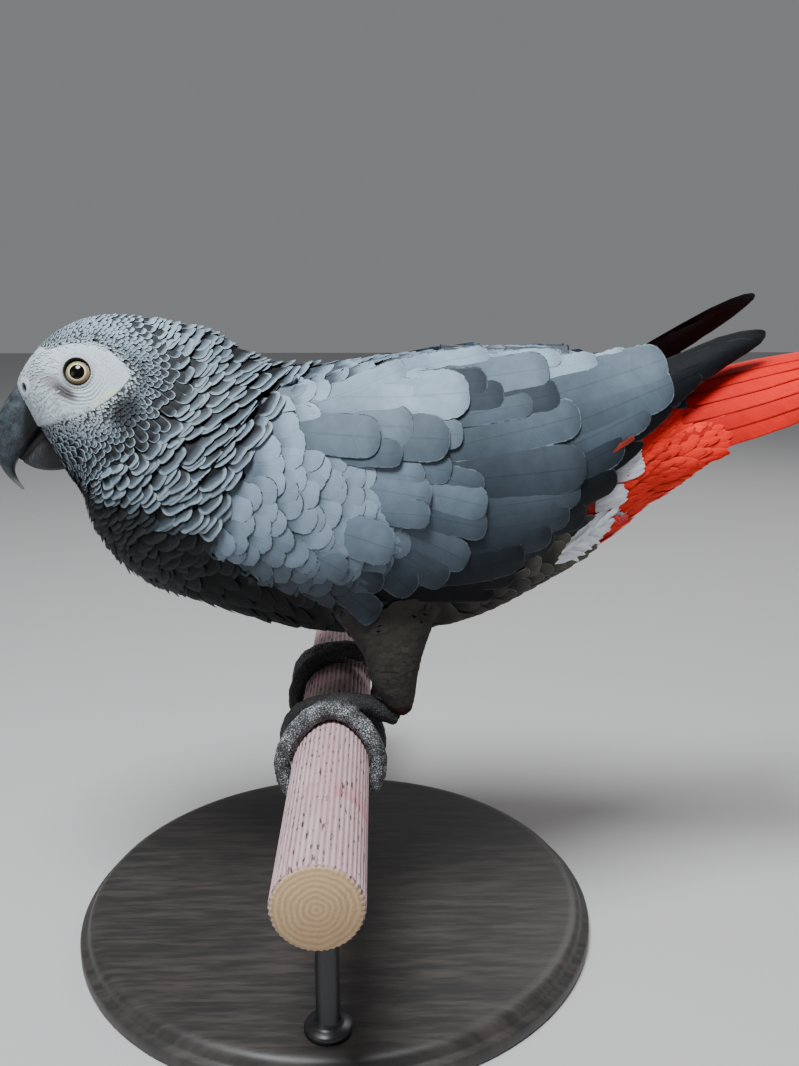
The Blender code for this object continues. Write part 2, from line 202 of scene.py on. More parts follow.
# %% Ribs, tail slices and thigh stations, the same as in the solids
# Each rib: top x, z, bottom x, z, half width, where it is widest, roundness.
RIBS = (
    (-121.5, 131.5, -104.0, 96.0, 9.5, 0.50, 0.85),
    (-115.0, 142.0, -101.5, 93.0, 17.0, 0.52, 0.85),
    (-104.0, 151.5, -99.5, 89.5, 20.5, 0.52, 0.85),
    (-88.0, 157.0, -98.0, 84.0, 22.5, 0.55, 0.85),
    (-67.0, 155.3, -96.5, 77.0, 26.0, 0.58, 0.85),
    (-46.0, 149.8, -91.5, 68.5, 31.0, 0.56, 0.87),
    (-29.0, 139.8, -82.5, 57.0, 35.5, 0.55, 0.90),
    (-11.0, 137.0, -64.5, 46.0, 38.5, 0.53, 0.92),
    (12.0, 139.8, -37.0, 35.0, 39.0, 0.52, 0.95),
    (36.0, 141.0, -6.0, 28.0, 38.0, 0.52, 0.96),
    (58.0, 138.5, 26.0, 27.0, 36.5, 0.52, 0.97),
    (80.0, 134.0, 57.0, 32.5, 33.0, 0.50, 0.97),
    (102.0, 130.0, 84.0, 46.0, 28.5, 0.50, 0.97),
    (122.0, 127.5, 108.0, 61.0, 24.0, 0.48, 0.97),
    (138.0, 127.3, 127.5, 79.0, 20.0, 0.46, 0.97),
)
# Each slice of the tail: ridge x, z, edge x, z, half width.
TAIL = (
    (138.6, 127.5, 132.0, 98.0, 20.5),
    (147.0, 130.5, 142.0, 98.5, 21.0),
    (158.0, 134.0, 155.5, 104.0, 22.0),
    (172.0, 137.0, 170.0, 110.5, 23.0),
    (188.0, 139.5, 186.0, 117.5, 24.0),
    (201.0, 141.5, 198.5, 125.0, 22.0),
    (210.0, 142.8, 208.0, 134.5, 13.0),
)
# Each station of a thigh: x, z, distance from the middle plane, half length, half width.
THIGH = (
    (15.0, 62.0, 22.0, 26.0, 8.0),
    (18.0, 50.0, 24.5, 24.0, 9.0),
    (22.0, 39.0, 26.0, 19.5, 10.0),
    (24.5, 26.0, 27.5, 12.5, 10.0),
    (25.0, 14.0, 28.0, 9.5, 8.5),
    (27.0, 5.0, 28.0, 6.5, 6.5),
    (28.0, 0.0, 28.0, 4.0, 4.5),
)
LAST_RIB = len(RIBS) - 1
HEAD_YAW = radians(12)  # how far the head turns to the bird's left
NECK_PIVOT = -45  # where the axis of that turn is, as x
NECK_TURN = (-32, -78)  # the turn grows from nothing to all of it between these, as x


def blend(low, high, value):
    """Smooth step from 0 at low to 1 at high."""
    share = min(1, max(0, (value - low) / (high - low)))
    return share * share * (3 - 2 * share)


def smooth_rows(rows, s):
    """Catmull-Rom value of a table of equal rows at the fractional row number s."""
    last = len(rows) - 1
    i = min(max(int(s), 0), last - 1)
    t = s - i
    before, here, after, beyond = (rows[min(max(k, 0), last)] for k in (i - 1, i, i + 1, i + 2))
    return [
        0.5 * (2 * b + (c - a) * t + (2 * a - 5 * b + 4 * c - d) * t**2 + (3 * b - a - 3 * c + d) * t**3)
        for a, b, c, d in zip(before, here, after, beyond)
    ]


def turned(x, y, z, back=False):
    """Swing a point of the head and neck to the bird's left, or back again."""
    angle = HEAD_YAW * blend(*NECK_TURN, x)
    angle = -angle if back else angle
    dx = x - NECK_PIVOT
    return Vector((NECK_PIVOT + dx * cos(angle) - y * sin(angle), dx * sin(angle) + y * cos(angle), z))


def egg(angle, widest, roundness):
    """How far down and how far out an egg-shaped outline is at an angle, as shares of its size."""
    down = ((1 - cos(angle)) / 2) ** (log(widest) / log(0.5))
    return down, abs(sin(angle)) ** roundness * (1 if sin(angle) >= 0 else -1)


def rib_point(s, angle):
    """A point of the body: angle 0 is its back, and a positive angle is its right side."""
    top_x, top_z, low_x, low_z, half_width, widest, roundness = smooth_rows(RIBS, s)
    down, out = egg(angle, widest, roundness)
    return turned(top_x + (low_x - top_x) * down, out * half_width, top_z + (low_z - top_z) * down)


def tail_point(s, angle):
    """A point on top of the roof-shaped tail: angle 0 is its ridge."""
    ridge_x, ridge_z, edge_x, edge_z, half_width = smooth_rows(TAIL, s)
    fall = 1 - cos(angle)
    x, z = ridge_x + (edge_x - ridge_x) * fall, ridge_z + (edge_z - ridge_z) * fall
    return Vector((x, half_width * sin(angle), z))


def thigh_point(s, angle, side):
    """A point of a thigh: angle 0 is behind, and side is -1 for the left and 1 for the right."""
    x, z, y, along, across = smooth_rows(THIGH, s)
    return Vector((x + along * cos(angle), side * (y + across * sin(angle)), z))


print("the back is", round(rib_point(8, 0).z), "mm over the perch")

# %% [markdown]
# ## One skin for the whole body
#
# Under its feathers a bird is one piece of skin, without a seam between head, neck, trunk
# and legs. Here the body, thighs, arm and rump are put into one mesh as overlapping closed
# shapes, and a voxel remesh melts them together. That is how a sculptor would start, and it
# saves joining the shapes by hand. The result, called the form, is the outline of the coat.
# The skin is a copy of it that is drawn in by the depth of the coat, and the feathers then
# fill the room between the two.


# %% Closed lofts and copies of solids
def lofted(rings):
    """A closed bmesh through rings of points: each ring is the last one, extruded and moved."""
    bm = bmesh.new()
    row = bmesh.ops.create_circle(bm, segments=len(rings[0]), radius=1)["verts"]
    edges = bm.edges[:]
    for number, points in enumerate(rings):
        if number:
            made = bmesh.ops.extrude_edge_only(bm, edges=edges)["geom"]
            fresh = {g for g in made if isinstance(g, bmesh.types.BMVert)}
            edges = [g for g in made if isinstance(g, bmesh.types.BMEdge) and fresh.issuperset(g.verts)]
            row = [next(e.other_vert(v) for e in v.link_edges if e.other_vert(v) in fresh) for v in row]
        for vert, point in zip(row, points):
            vert.co = point
    bmesh.ops.holes_fill(bm, edges=bm.edges, sides=0)
    bmesh.ops.recalc_face_normals(bm, faces=bm.faces)
    return bm


def copy_of(*names):
    """Merged copies of solids in one bmesh, in the bird's millimetres."""
    bm = bmesh.new()
    for name in names:
        bm.from_mesh(nodes[name].data)
    bmesh.ops.transform(bm, matrix=TO_BIRD, verts=bm.verts)
    bmesh.ops.remove_doubles(bm, verts=bm.verts, dist=0.002)
    return bm


def absorb(bm, other):
    """Puts the other bmesh into the first one, and frees it."""
    mesh = bpy.data.meshes.new("other")
    other.to_mesh(mesh)
    other.free()
    bm.from_mesh(mesh)
    bpy.data.meshes.remove(mesh)


print("ready to loft and to copy", ", ".join(sorted(nodes)))


# %% Finished pieces
def piece(name, bm, look, replaces=()):
    """A finished piece of the part from a bmesh in the bird's millimetres."""
    bmesh.ops.transform(bm, matrix=TO_WORLD, verts=bm.verts)
    mesh = bpy.data.meshes.new(name)
    bm.to_mesh(mesh)
    bm.free()
    mesh.shade_smooth()
    return keep(name, mesh, look, replaces)


def keep(name, mesh, look, replaces=()):
    """Puts a finished mesh into the scene, on the part's one body."""
    obj = bpy.data.objects.new(name, mesh)
    bpy.context.scene.collection.objects.link(obj)
    mesh.materials.append(look)
    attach(obj, "root")
    if replaces:
        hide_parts(*replaces)
    print(f"{name}: {sum(len(p.vertices) - 2 for p in mesh.polygons)} triangles")


# %% Melting overlapping shapes together
def remeshed(bm, voxel, rounds):
    """The bmesh melted into one closed skin of even squares, then smoothed."""
    mesh = bpy.data.meshes.new("melt")
    bm.to_mesh(mesh)
    bm.free()
    obj = bpy.data.objects.new("melt", mesh)
    bpy.context.scene.collection.objects.link(obj)
    melt = obj.modifiers.new("melt", "REMESH")
    melt.mode = "VOXEL"
    melt.voxel_size = voxel
    solid = obj.evaluated_get(bpy.context.evaluated_depsgraph_get()).to_mesh()
    out = bmesh.new()
    out.from_mesh(solid)
    bpy.data.objects.remove(obj)
    bpy.data.meshes.remove(mesh)
    every_way = {"use_axis_x": True, "use_axis_y": True, "use_axis_z": True}
    for _ in range(rounds):
        bmesh.ops.smooth_vert(out, verts=out.verts, factor=0.5, **every_way)
    return out


print("ready to melt")

# %% The form
RING = [2 * pi * k / 40 for k in range(40)]
ARMS = [f"wing_{side}_{part}" for side in ("left", "right") for part in ("coverts", "secondaries")]
ARM_REACH = 2.4  # the inner side of an arm reaches this far into the body, so no gap is left
RUMP_END = 158  # where the form is cut off inside the tail, as x
FORM_VOXEL, FORM_ROUNDS = 1.6, 5
flesh = lofted([[rib_point(s, a) for a in RING] for s in np.linspace(0, LAST_RIB, 57)])
for side in (-1, 1):
    stations = np.linspace(0, len(THIGH) - 1, 19)
    absorb(flesh, lofted([[thigh_point(s, a, side) for a in RING[::2]] for s in stations]))
arm = copy_of(*ARMS)
arm.normal_update()
for vert in arm.verts:
    if vert.normal.y * vert.co.y < 0:
        vert.co += vert.normal * ARM_REACH
rump = copy_of("tail")
whole = rump.verts[:] + rump.edges[:] + rump.faces[:]
cut = bmesh.ops.bisect_plane(
    rump, geom=whole, plane_co=(RUMP_END, 0, 0), plane_no=(1, 0, 0), clear_outer=True
)
open_edges = [g for g in cut["geom_cut"] if isinstance(g, bmesh.types.BMEdge)]
bmesh.ops.holes_fill(rump, edges=open_edges, sides=0)
absorb(flesh, arm)
absorb(flesh, rump)
form = remeshed(flesh, FORM_VOXEL, FORM_ROUNDS)
form.normal_update()
form_tree = BVHTree.FromBMesh(form)
print(f"the form has {len(form.verts)} points and {len(form.faces)} faces")

# %% [markdown]
# ## Where the colours are
#
# The markings of the bird are a few named places: the bare white face, the dark lore under
# the eye, a smudge on the cheek, the red tail, and the breast, belly and dull thighs, whose
# dark colours are partly painted shade. They could be painted on each mesh by hand. Here
# skin and feathers ask the same functions for their colour, so where feathers part, the skin
# between them fits.

# %% The outline of the bare face, and blots on it
EYE = Vector((-97.2, 0, 137.0))  # x and z in the head before it turns
NOSTRIL = (-117.1, 130.5)
LORE = (-104.6, 131.8)
# Corners of the bare face in the head's own side view: x, z.
FACE = (
    (-127, 131), (-117, 142.0), (-111.5, 146.0), (-107.2, 145.2), (-102.5, 146.8), (-97.2, 147.6),
    (-91.0, 147.5), (-86.4, 145.8), (-82.0, 142.2), (-78.2, 138.4), (-77.2, 135.2), (-80.2, 131.6),
    (-83.6, 128.6), (-88.0, 125.4), (-93.0, 122.4), (-98.5, 120.2), (-104.0, 118.8), (-110.4, 116.4),
    (-116.0, 115.0), (-127, 121),
)


def face_depth(x, z):
    """How far a place is inside the bare face, in millimetres; outside it is negative."""
    inside, nearest = False, 99.0
    for (ax, az), (bx, bz) in zip(FACE, FACE[1:] + FACE[:1]):
        if (az > z) != (bz > z) and x < (bx - ax) * (z - az) / (bz - az) + ax:
            inside = not inside
        along = ((x - ax) * (bx - ax) + (z - az) * (bz - az)) / ((bx - ax) ** 2 + (bz - az) ** 2)
        along = min(1, max(0, along))
        nearest = min(nearest, hypot(x - ax - along * (bx - ax), z - az - along * (bz - az)))
    return nearest if inside else -nearest


def lean_blob(x, z, centre, angle, long, short):
    """1 in the middle of a leaning oval and 0 at its edge."""
    dx, dz = x - centre[0], z - centre[1]
    a, b = dx * cos(angle) + dz * sin(angle), dz * cos(angle) - dx * sin(angle)
    return 1 - blend(0.35, 1, hypot(a / long, b / short))


def lore_share(x, z):
    """1 in the middle of the dark bare skin before the eye and 0 outside it."""
    return lean_blob(x, z, LORE, -0.62, 11.0, 4.6)


def from_nostril(x, z, wide, high):
    """The distance from the nostril in a side view, as a share of an oval's half axes."""
    return hypot((x - NOSTRIL[0]) / wide, (z - NOSTRIL[1]) / high)


print("the bare face is", round(face_depth(EYE.x, EYE.z), 1), "mm deep at the eye")


# %% The colours, and the coat's colour at each place
def mixed(first, second, share):
    """A share of the second colour laid over the first."""
    return tuple(a + (b - a) * share for a, b in zip(first, second))


WHITE = (0.50, 0.58, 0.63)
GREY = (0.200, 0.268, 0.338)
CROWN_GREY = (0.27, 0.355, 0.43)
NECK_GREY = (0.055, 0.074, 0.092)
# the breast's grey, deepened to near black as painted shade
BREAST_IN_SHADE = (0.006, 0.0066, 0.0076)
# the belly's pale beige-grey, darkened as painted shade
BELLY_BEIGE_IN_SHADE = (0.078, 0.068, 0.052)
RED = (0.62, 0.014, 0.009)
BLACK = (0.003, 0.003, 0.0036)
# the thighs' pale grey-beige, darkened as painted shade
THIGH_IN_SHADE = (0.040, 0.037, 0.031)
BACK_GREY = (0.135, 0.182, 0.230)
FLECK_WHITE = (0.42, 0.48, 0.52)
SMUDGE = (0.012, 0.012, 0.017)
# The line under which the breast is darkened as painted shade, along the bird: x, z.
BREAST_SHADE_LINE = (
    (-112, 96.0), (-98, 97.5), (-76, 96.0), (-60, 92.0), (-52, 84.0), (-43, 69.0), (-26, 60.0),
    (16, 56.0), (50, 50.0), (60, 30.0),
)


def plumage(point):
    """The colour of the coat at a point of the bird, and how pale its feathers' rims are."""
    head = turned(*point, back=True)
    x, y, z = point
    colour = mixed(NECK_GREY, GREY, blend(-40, -10, x))
    colour = mixed(colour, CROWN_GREY, blend(138, 153, z) * (1 - blend(-75, -50, x)))
    back = blend(-14, 4, x) * blend(112, 122, z) * (1 - blend(14, 22, abs(y)))
    colour = mixed(colour, BACK_GREY, 0.8 * back)
    rim = 0.95 - (0.65 - 0.2 * back) * blend(-25, 10, x)
    # painted shade: under this line the breast and the rims of its feathers are darkened
    under = blend(-3.0, 3.5, float(np.interp(x, *zip(*BREAST_SHADE_LINE))) - z)
    colour = mixed(colour, BREAST_IN_SHADE, under)
    rim *= 1 - 0.94 * under
    # painted shade: the lower belly takes the darkened beige
    colour = mixed(colour, BELLY_BEIGE_IN_SHADE, blend(26, 44, x) * (1 - blend(62, 92, z - 0.5 * max(0, x - 40))))
    # painted shade: the thighs are darkened
    thigh = blend(10, 16, x) * (1 - blend(44, 50, z)) * blend(6, 11, abs(y))
    colour = mixed(colour, THIGH_IN_SHADE, thigh)
    colour = mixed(colour, RED, blend(100, 110, x) * (1 - blend(112, 124, z)))
    if x < -40:
        low = 1 - blend(124, 132, head.z)
        border = 1 - blend(-1.0, 3.5 + 5 * low, -face_depth(head.x, head.z))
        colour = mixed(colour, FLECK_WHITE, border * 0.9)
        cheek = lean_blob(head.x, head.z, (-82.2, 124.2), 0.75, 9.8, 6.2)
        colour, rim = mixed(colour, SMUDGE, 0.97 * cheek), rim * (1 - 0.88 * min(1, 1.3 * cheek))
    return colour, rim


print("the coat on the nape is", [round(c, 3) for c in plumage((-40, 0, 140))[0]])


# %% The bare skin's colour at each place
def face_tint(x, z):
    """The colour of the bare skin of the head at a place of the head's side view."""
    # painted shade: the bare skin turns greyer towards the beak
    colour = mixed((0.36, 0.42, 0.46), WHITE, 0.3 + 0.7 * blend(-117, -105, x))  # greyer at the beak
    stains = (
        ((0.17, 0.14, 0.16), 0.8 * lore_share(x, z)),
        ((0.050, 0.036, 0.047), 0.85 * lean_blob(x, z, (-102.0, 129.8), -0.6, 6.5, 2.6)),  # its darkest part
        ((0.36, 0.35, 0.34), 0.5 * lean_blob(x, z, (-112.0, 134.5), -0.5, 7.0, 3.0)),  # behind the nostril
        ((0.66, 0.65, 0.50), 0.7 * lean_blob(x, z, (-88, 126.5), 0.7, 9, 4)),  # yellowish under the eye
    )
    for stain, share in stains:
        colour = mixed(colour, stain, share)
    from_eye = hypot(x - EYE.x, z - EYE.z)
    lid = blend(5.1, 5.5, from_eye) * (1 - blend(5.8, 7.4, from_eye))
    colour = mixed(colour, (0.34, 0.38, 0.40), 0.6 * lid)
    colour = mixed(colour, (0.004, 0.004, 0.005), 1 - blend(4.95, 5.35, from_eye))
    return mixed(colour, (0.004, 0.004, 0.004), 1 - blend(0.7, 1.15, from_nostril(x, z, 1.0, 1.9)))


print("the bare face before the eye is", [round(c, 3) for c in face_tint(LORE[0], LORE[1])])

# %% [markdown]
# ## The skin
#
# The skin is the form, drawn in where feathers cover it. Over the bare face it stays at
# full size. A displacement map could carry the lids, the wrinkles under the eye and the
# nostril, but a mesh that is fine enough keeps them in every file format. So each face there
# is divided into five by five, and each point moves along its normal: by a few tenths of a
# millimetre in a wrinkle, and by two or three millimetres in the nostril and behind the lids.


# %% Relief of the face
def face_relief(head):
    """How far the bare skin stands out at a point of the unturned head, in millimetres."""
    dx, dz = head.x - EYE.x, head.z - EYE.z
    away = hypot(dx, dz)
    angle = atan2(dz, dx)
    if away < 4.9:
        return 0.35 - 3.6 * (1 - blend(4.35, 4.9, away))
    height = 0.35 * (1 - blend(5.2, 7.0, away)) - 0.3 * (1 - blend(0.0, 0.5, abs(away - 6.1)))
    height += 0.12 * sin(angle * 34) * (1 - blend(0.2, 0.6, abs(away - 5.5)))
    waver = noise.noise(Vector((head.x * 0.16, head.z * 0.16, 3.0))) * 1.1
    below = 1 - blend(0.55, 1.5, abs(angle + 1.35))
    folds = blend(6.2, 7.2, away) * (1 - blend(10.5, 13.5, away)) * below
    height += 0.17 * folds * sin((away + waver) * 2 * pi / 1.25)
    crow = lean_blob(head.x, head.z, (-88.5, 141.5), -0.7, 6.0, 3.5)
    height += 0.06 * crow * sin((dx * 0.64 + dz * 0.77 + waver * 0.3) * 2 * pi / 1.2)
    rough = blend(-90, -106, head.x) + (1 - blend(124, 129, head.z))
    height += 0.10 * min(1, rough) * noise.noise(Vector((head.x, head.z, 0.3 * head.y)) * 0.9)
    pit = from_nostril(head.x, head.z, 0.9, 1.8)
    return height + 0.6 * (1 - blend(1.2, 3.0, pit)) - 2.6 * (1 - blend(0.5, 1.1, pit))


def skin_depth(point):
    """How deep the skin lies under the outline of the coat."""
    depth = 1.1 + 1.5 * blend(-92, -60, point.x)
    depth -= 1.0 * blend(6, 30, abs(point.y)) * blend(-30, 0, point.x)
    return depth + 1.2 * blend(135, 150, point.x)


print("the nostril is", round(-face_relief(Vector((NOSTRIL[0], 0, NOSTRIL[1]))), 1), "mm deep")

# %% The skin
FACE_END = -70  # behind this the head has no bare skin, as x
FACE_CUTS = 4
# painted shade: the skin between feathers is darkened, as it lies in their shade
PAINTED_GAP_SHADE = 0.28  # between feathers the skin is darker than they are, by this factor
skin = form.copy()
bare = []
for face in skin.faces:
    centre = face.calc_center_median()
    if centre.x < FACE_END:
        head = turned(*centre, back=True)
        if face_depth(head.x, head.z) > -1.5:
            bare.append(face)
edges = list({edge for face in bare for edge in face.edges})
bmesh.ops.subdivide_edges(skin, edges=edges, cuts=FACE_CUTS, use_grid_fill=True, smooth=0.0)
skin.normal_update()
colour_and_shade_layer = skin.verts.layers.float_color.new("colour_and_shade")
moves = []
for vert in skin.verts:
    head = turned(*vert.co, back=True)
    depth = face_depth(head.x, head.z) if vert.co.x < FACE_END else -99
    bareness = blend(-1.0, 0.6, depth)
    covered = skin_depth(vert.co)
    relief = face_relief(head) if bareness > 0 else 0.0
    moves.append((vert, vert.normal * (relief * bareness - covered * (1 - bareness) - 0.15)))
    tint = tuple(PAINTED_GAP_SHADE * c for c in plumage(vert.co)[0])
    vert[colour_and_shade_layer] = (*mixed(tint, face_tint(head.x, head.z), bareness), bareness)
for vert, move in moves:
    vert.co += move
bmesh.ops.triangulate(skin, faces=[f for f in skin.faces if len(f.verts) > 4])
print(len(bare), "faces of bare skin divided")

# %% The skin's finish
look = Look("skin")
grain = look.noise(900, 6)
down = look.noise(2600, 3)
cells = look.cells(1100, "DISTANCE_TO_EDGE")
colour = look.scaled(look.stored("colour_and_shade"), 1.0 - grain.step(0.42, 0.66) * 0.14)
colour = look.scaled(colour, 1.0 - (1 - cells.step(0.0, 0.16)) * 0.12)
skin_look = look.finish(
    Base_Color=colour,
    Roughness=0.62 + grain * 0.15,
    Normal=look.bump(grain * 0.5 + down * 0.3 + cells.step(0.0, 0.3) * 0.6, 0.00012, 0.7),
    Subsurface_Weight=0.08,
    Subsurface_Scale=0.002,
)
FLESH = ["head", "neck", "trunk", "vent", "thigh_left", "thigh_right"]
piece("skin", skin, skin_look, FLESH + ARMS)

# %% [markdown]
# ## One feather, and how to lay it
#
# A feather is a thin vane, arched across and closed underneath, with a few dozen faces. The
# coat needs thousands of them. Particle hair would be lost in an exported file, so each
# vane is worked out as a small array of points and all of a coat's vanes are joined into
# one mesh. To lay a feather, its points are spread over the plane that touches the body at
# its root, then dropped onto the form and lifted, a little at the root and more at the tip.
# The tip of each feather then covers the root of the next, as on the living bird. A keel of
# points under the vane's middle closes it, and a feather that would have to bridge a step of
# the body is left out.

# %% The outline of a feather
# Each shape: the length of its rounded end as a share of the width, the power of its curve,
# the width at the root, rows before the end.
SHAPES = {
    "scale": (0.50, 0.85, 0.55, 3),
    "fleck": (0.55, 0.90, 0.60, 2),
    "arc": (0.34, 0.66, 0.50, 4),
    "broad": (0.42, 0.75, 0.50, 4),
    "lance": (1.50, 1.30, 0.50, 3),
    "quill": (0.50, 0.70, 0.50, 6),
    "primary": (2.60, 1.05, 0.50, 6),
    "fluff": (0.90, 1.00, 0.40, 3),
}
ACROSS, TIP_TURNS = (-1.0, -0.6, 0.0, 0.6, 1.0), [radians(a) for a in (24, 44, 61, 75, 85)]
FEW_ACROSS, FEW_TURNS = (-1.0, 0.0, 1.0), [radians(a) for a in (34, 60, 81)]


def outline(length, width, shape, turns):
    """The rows of a vane: how far along each is, and how wide it is there."""
    share, power, root, straight = SHAPES[shape]
    cap = min(share * width, 0.75 * length)
    rows = []
    for i in range(straight + 1):
        spread = sin(pi / 2 * min(1, 1.5 * i / straight))
        rows.append(((length - cap) * i / straight, root + (1 - root) * spread))
    rows += [(length - cap + cap * sin(turn), cos(turn) ** power) for turn in turns]
    return rows, cap, power


print("a scale has", len(outline(19, 12.5, "scale", TIP_TURNS)[0]), "rows of", len(ACROSS), "points")

# %% A coat of feathers
STRETCH, SLACK = 1.7, 0.5  # on the body a row may be this factor longer, and this much, than flat
FACING = 0.2  # how far the surface may turn between two rows, as the cosine of the angle
BAKE_CELL = 0.003  # the side of one feather's place in the map for baking
GAP_UNIT, LENGTH_UNIT = 10, 100  # stored numbers stay below 1: millimetres over these
KEEL = -0.02  # the points that close a vane from below lie this far under its edges


class Coat:
    """Feathers that are laid one by one and joined into a single mesh."""

    def __init__(self, across=ACROSS, turns=TIP_TURNS, strict=True):
        self.across, self.turns, self.strict = across, turns, strict
        self.points, self.faces, self.vane, self.bake, self.tint, self.trim = [], [], [], [], [], []
        self.count = self.left_out = 0

    def lay(
        self, drop, length, width, shape, colour, rim, heights, patch, cup=0.1, bow=0.0,
        size=BAKE_CELL, curl=0.0
    ):
        """Adds one feather. drop(a, b) gives the surface point and normal a along and b across it.

        heights are the lifts of its root and its tip, and patch is its place in the map for
        baking. A feather that would have to bridge a step of the surface is left out.
        """
        rows, cap, power = outline(length, width, shape, self.turns)
        low, high = heights
        start, wide, last = len(self.points), len(self.across), len(rows) - 1
        middle = wide // 2
        spots = [[drop(p, u * w * width / 2 + bow * (p / length) ** 2) for u in self.across] for p, w in rows]
        if self.strict:
            line = [row[middle] for row in spots]
            for (p, _), (q, _), here, ahead in zip(rows, rows[1:], line, line[1:]):
                long = (ahead[0] - here[0]).length > STRETCH * (q - p) + SLACK
                if long or here[1].dot(ahead[1]) < FACING:
                    self.left_out += 1
                    return
        shade = 1 + 0.07 * chance.standard_normal()
        colour = tuple(max(0.0, c * shade) for c in colour)
        luck = chance.random()
        for (along, share), row in zip(rows, spots):
            t = along / length
            lift = low + (high - low) * t + curl * t**4
            marks = [(u, *spot, cup * width * 0.5 * (1 - u * u) * share) for u, spot in zip(self.across, row)]
            marks.append((0.0, *row[middle], KEEL))
            for u, place, normal, bulge in marks:
                self.points.append(place + normal * (lift + bulge))
                end = length - cap + cap * max(0.0, 1 - abs(u * share) ** (2 / power)) ** 0.5
                rim_gap = max(0.0, min((1 - abs(u)) * share * width / 2, end - along))
                self.vane.append((0.5 + u / 2, t))
                self.bake.append((patch[0] + size * u / 2, patch[1] + size * (t - 0.5)))
                self.tint.append((*colour, rim_gap / GAP_UNIT))
                self.trim.append((rim, luck, length / LENGTH_UNIT, 1.0))
        stride = wide + 1
        for i in range(last):
            a, b = start + i * stride, start + (i + 1) * stride
            for j in range(wide - 1):
                self.faces.append((a + j, a + j + 1, b + j + 1, b + j))
            self.faces.append((a, b, b + wide, a + wide))
            self.faces.append((a + wide, b + wide, b + wide - 1, a + wide - 1))
        self.faces.append((*range(start, start + wide),)[::-1] + (start + wide,))
        tip = start + last * stride
        self.faces.append((*range(tip, tip + wide), tip + wide))
        self.count += 1

    def piece(self, name, look, slot, replaces=()):
        """Joins the feathers into one mesh, with what each point stores, and keeps it."""
        mesh = bpy.data.meshes.new(name)
        mesh.from_pydata([TO_WORLD @ p for p in self.points], [], self.faces)
        corner = np.zeros(len(mesh.loops), np.int32)
        mesh.loops.foreach_get("vertex_index", corner)
        for label, values in (("Vane", self.vane), ("OFBake", self.bake)):
            layer = mesh.uv_layers.new(name=label)
            layer.data.foreach_set("uv", np.array(values, np.float32)[corner].ravel())
        for label, values in (("tint", self.tint), ("trim", self.trim)):
            layer = mesh.attributes.new(label, "FLOAT_COLOR", "POINT")
            layer.data.foreach_set("color", np.array(values, np.float32).ravel())
        mesh.shade_smooth()
        mesh.set_sharp_from_angle(angle=radians(60))
        print(f"{self.count} feathers in {name}, {self.left_out} left out")
        keep(name, mesh, look, replaces)


print("a coat can be laid")


# %% Ways to lay a feather: over a surface, or free in the air
def drape(tree, root, along, normal, room=8.0, hold=False):
    """A drop function for a feather that starts at root and lies over the surface in tree."""
    along = (along - normal * along.dot(normal)).normalized()
    across = along.cross(normal)

    def drop(a, b):
        flat = root + along * a + across * b
        place, facing, _, _ = tree.ray_cast(flat + normal * room, -normal, room * 3)
        if place is None:
            place, facing, _, _ = tree.find_nearest(flat)
            if hold:  # past the edge of the surface: keep its height, but don't fold over it
                return flat + normal * (place - flat).dot(normal), normal
        if facing.dot(normal) < 0:
            facing = -facing
        return place, facing

    return drop


def free_path(points, outward):
    """A drop function for a feather that stands free along a bent line."""
    points = [Vector(p) for p in points]

    def drop(a, b):
        here, left = 0, max(0.0, a)
        while here < len(points) - 2 and left > (points[here + 1] - points[here]).length:
            left -= (points[here + 1] - points[here]).length
            here += 1
        ahead = (points[here + 1] - points[here]).normalized()
        return points[here] + ahead * left + ahead.cross(outward) * b, outward

    return drop


print("feathers can be draped over a surface or stand free")

# %% [markdown]
# ## What a vane looks like
#
# A real vane is hundreds of barbs that slant from a shaft. Modelled one by one they would be
# millions of faces. So the barbs are stripes of noise worked out along each feather's own
# length and width, and no two feathers are alike. The pale rim follows the stored distance
# from the vane's edge, which keeps it equally wide on small and large feathers.


# %% The finish of a vane
SLANT = 4.0  # how far a barb runs toward the tip on its way from the shaft to the edge


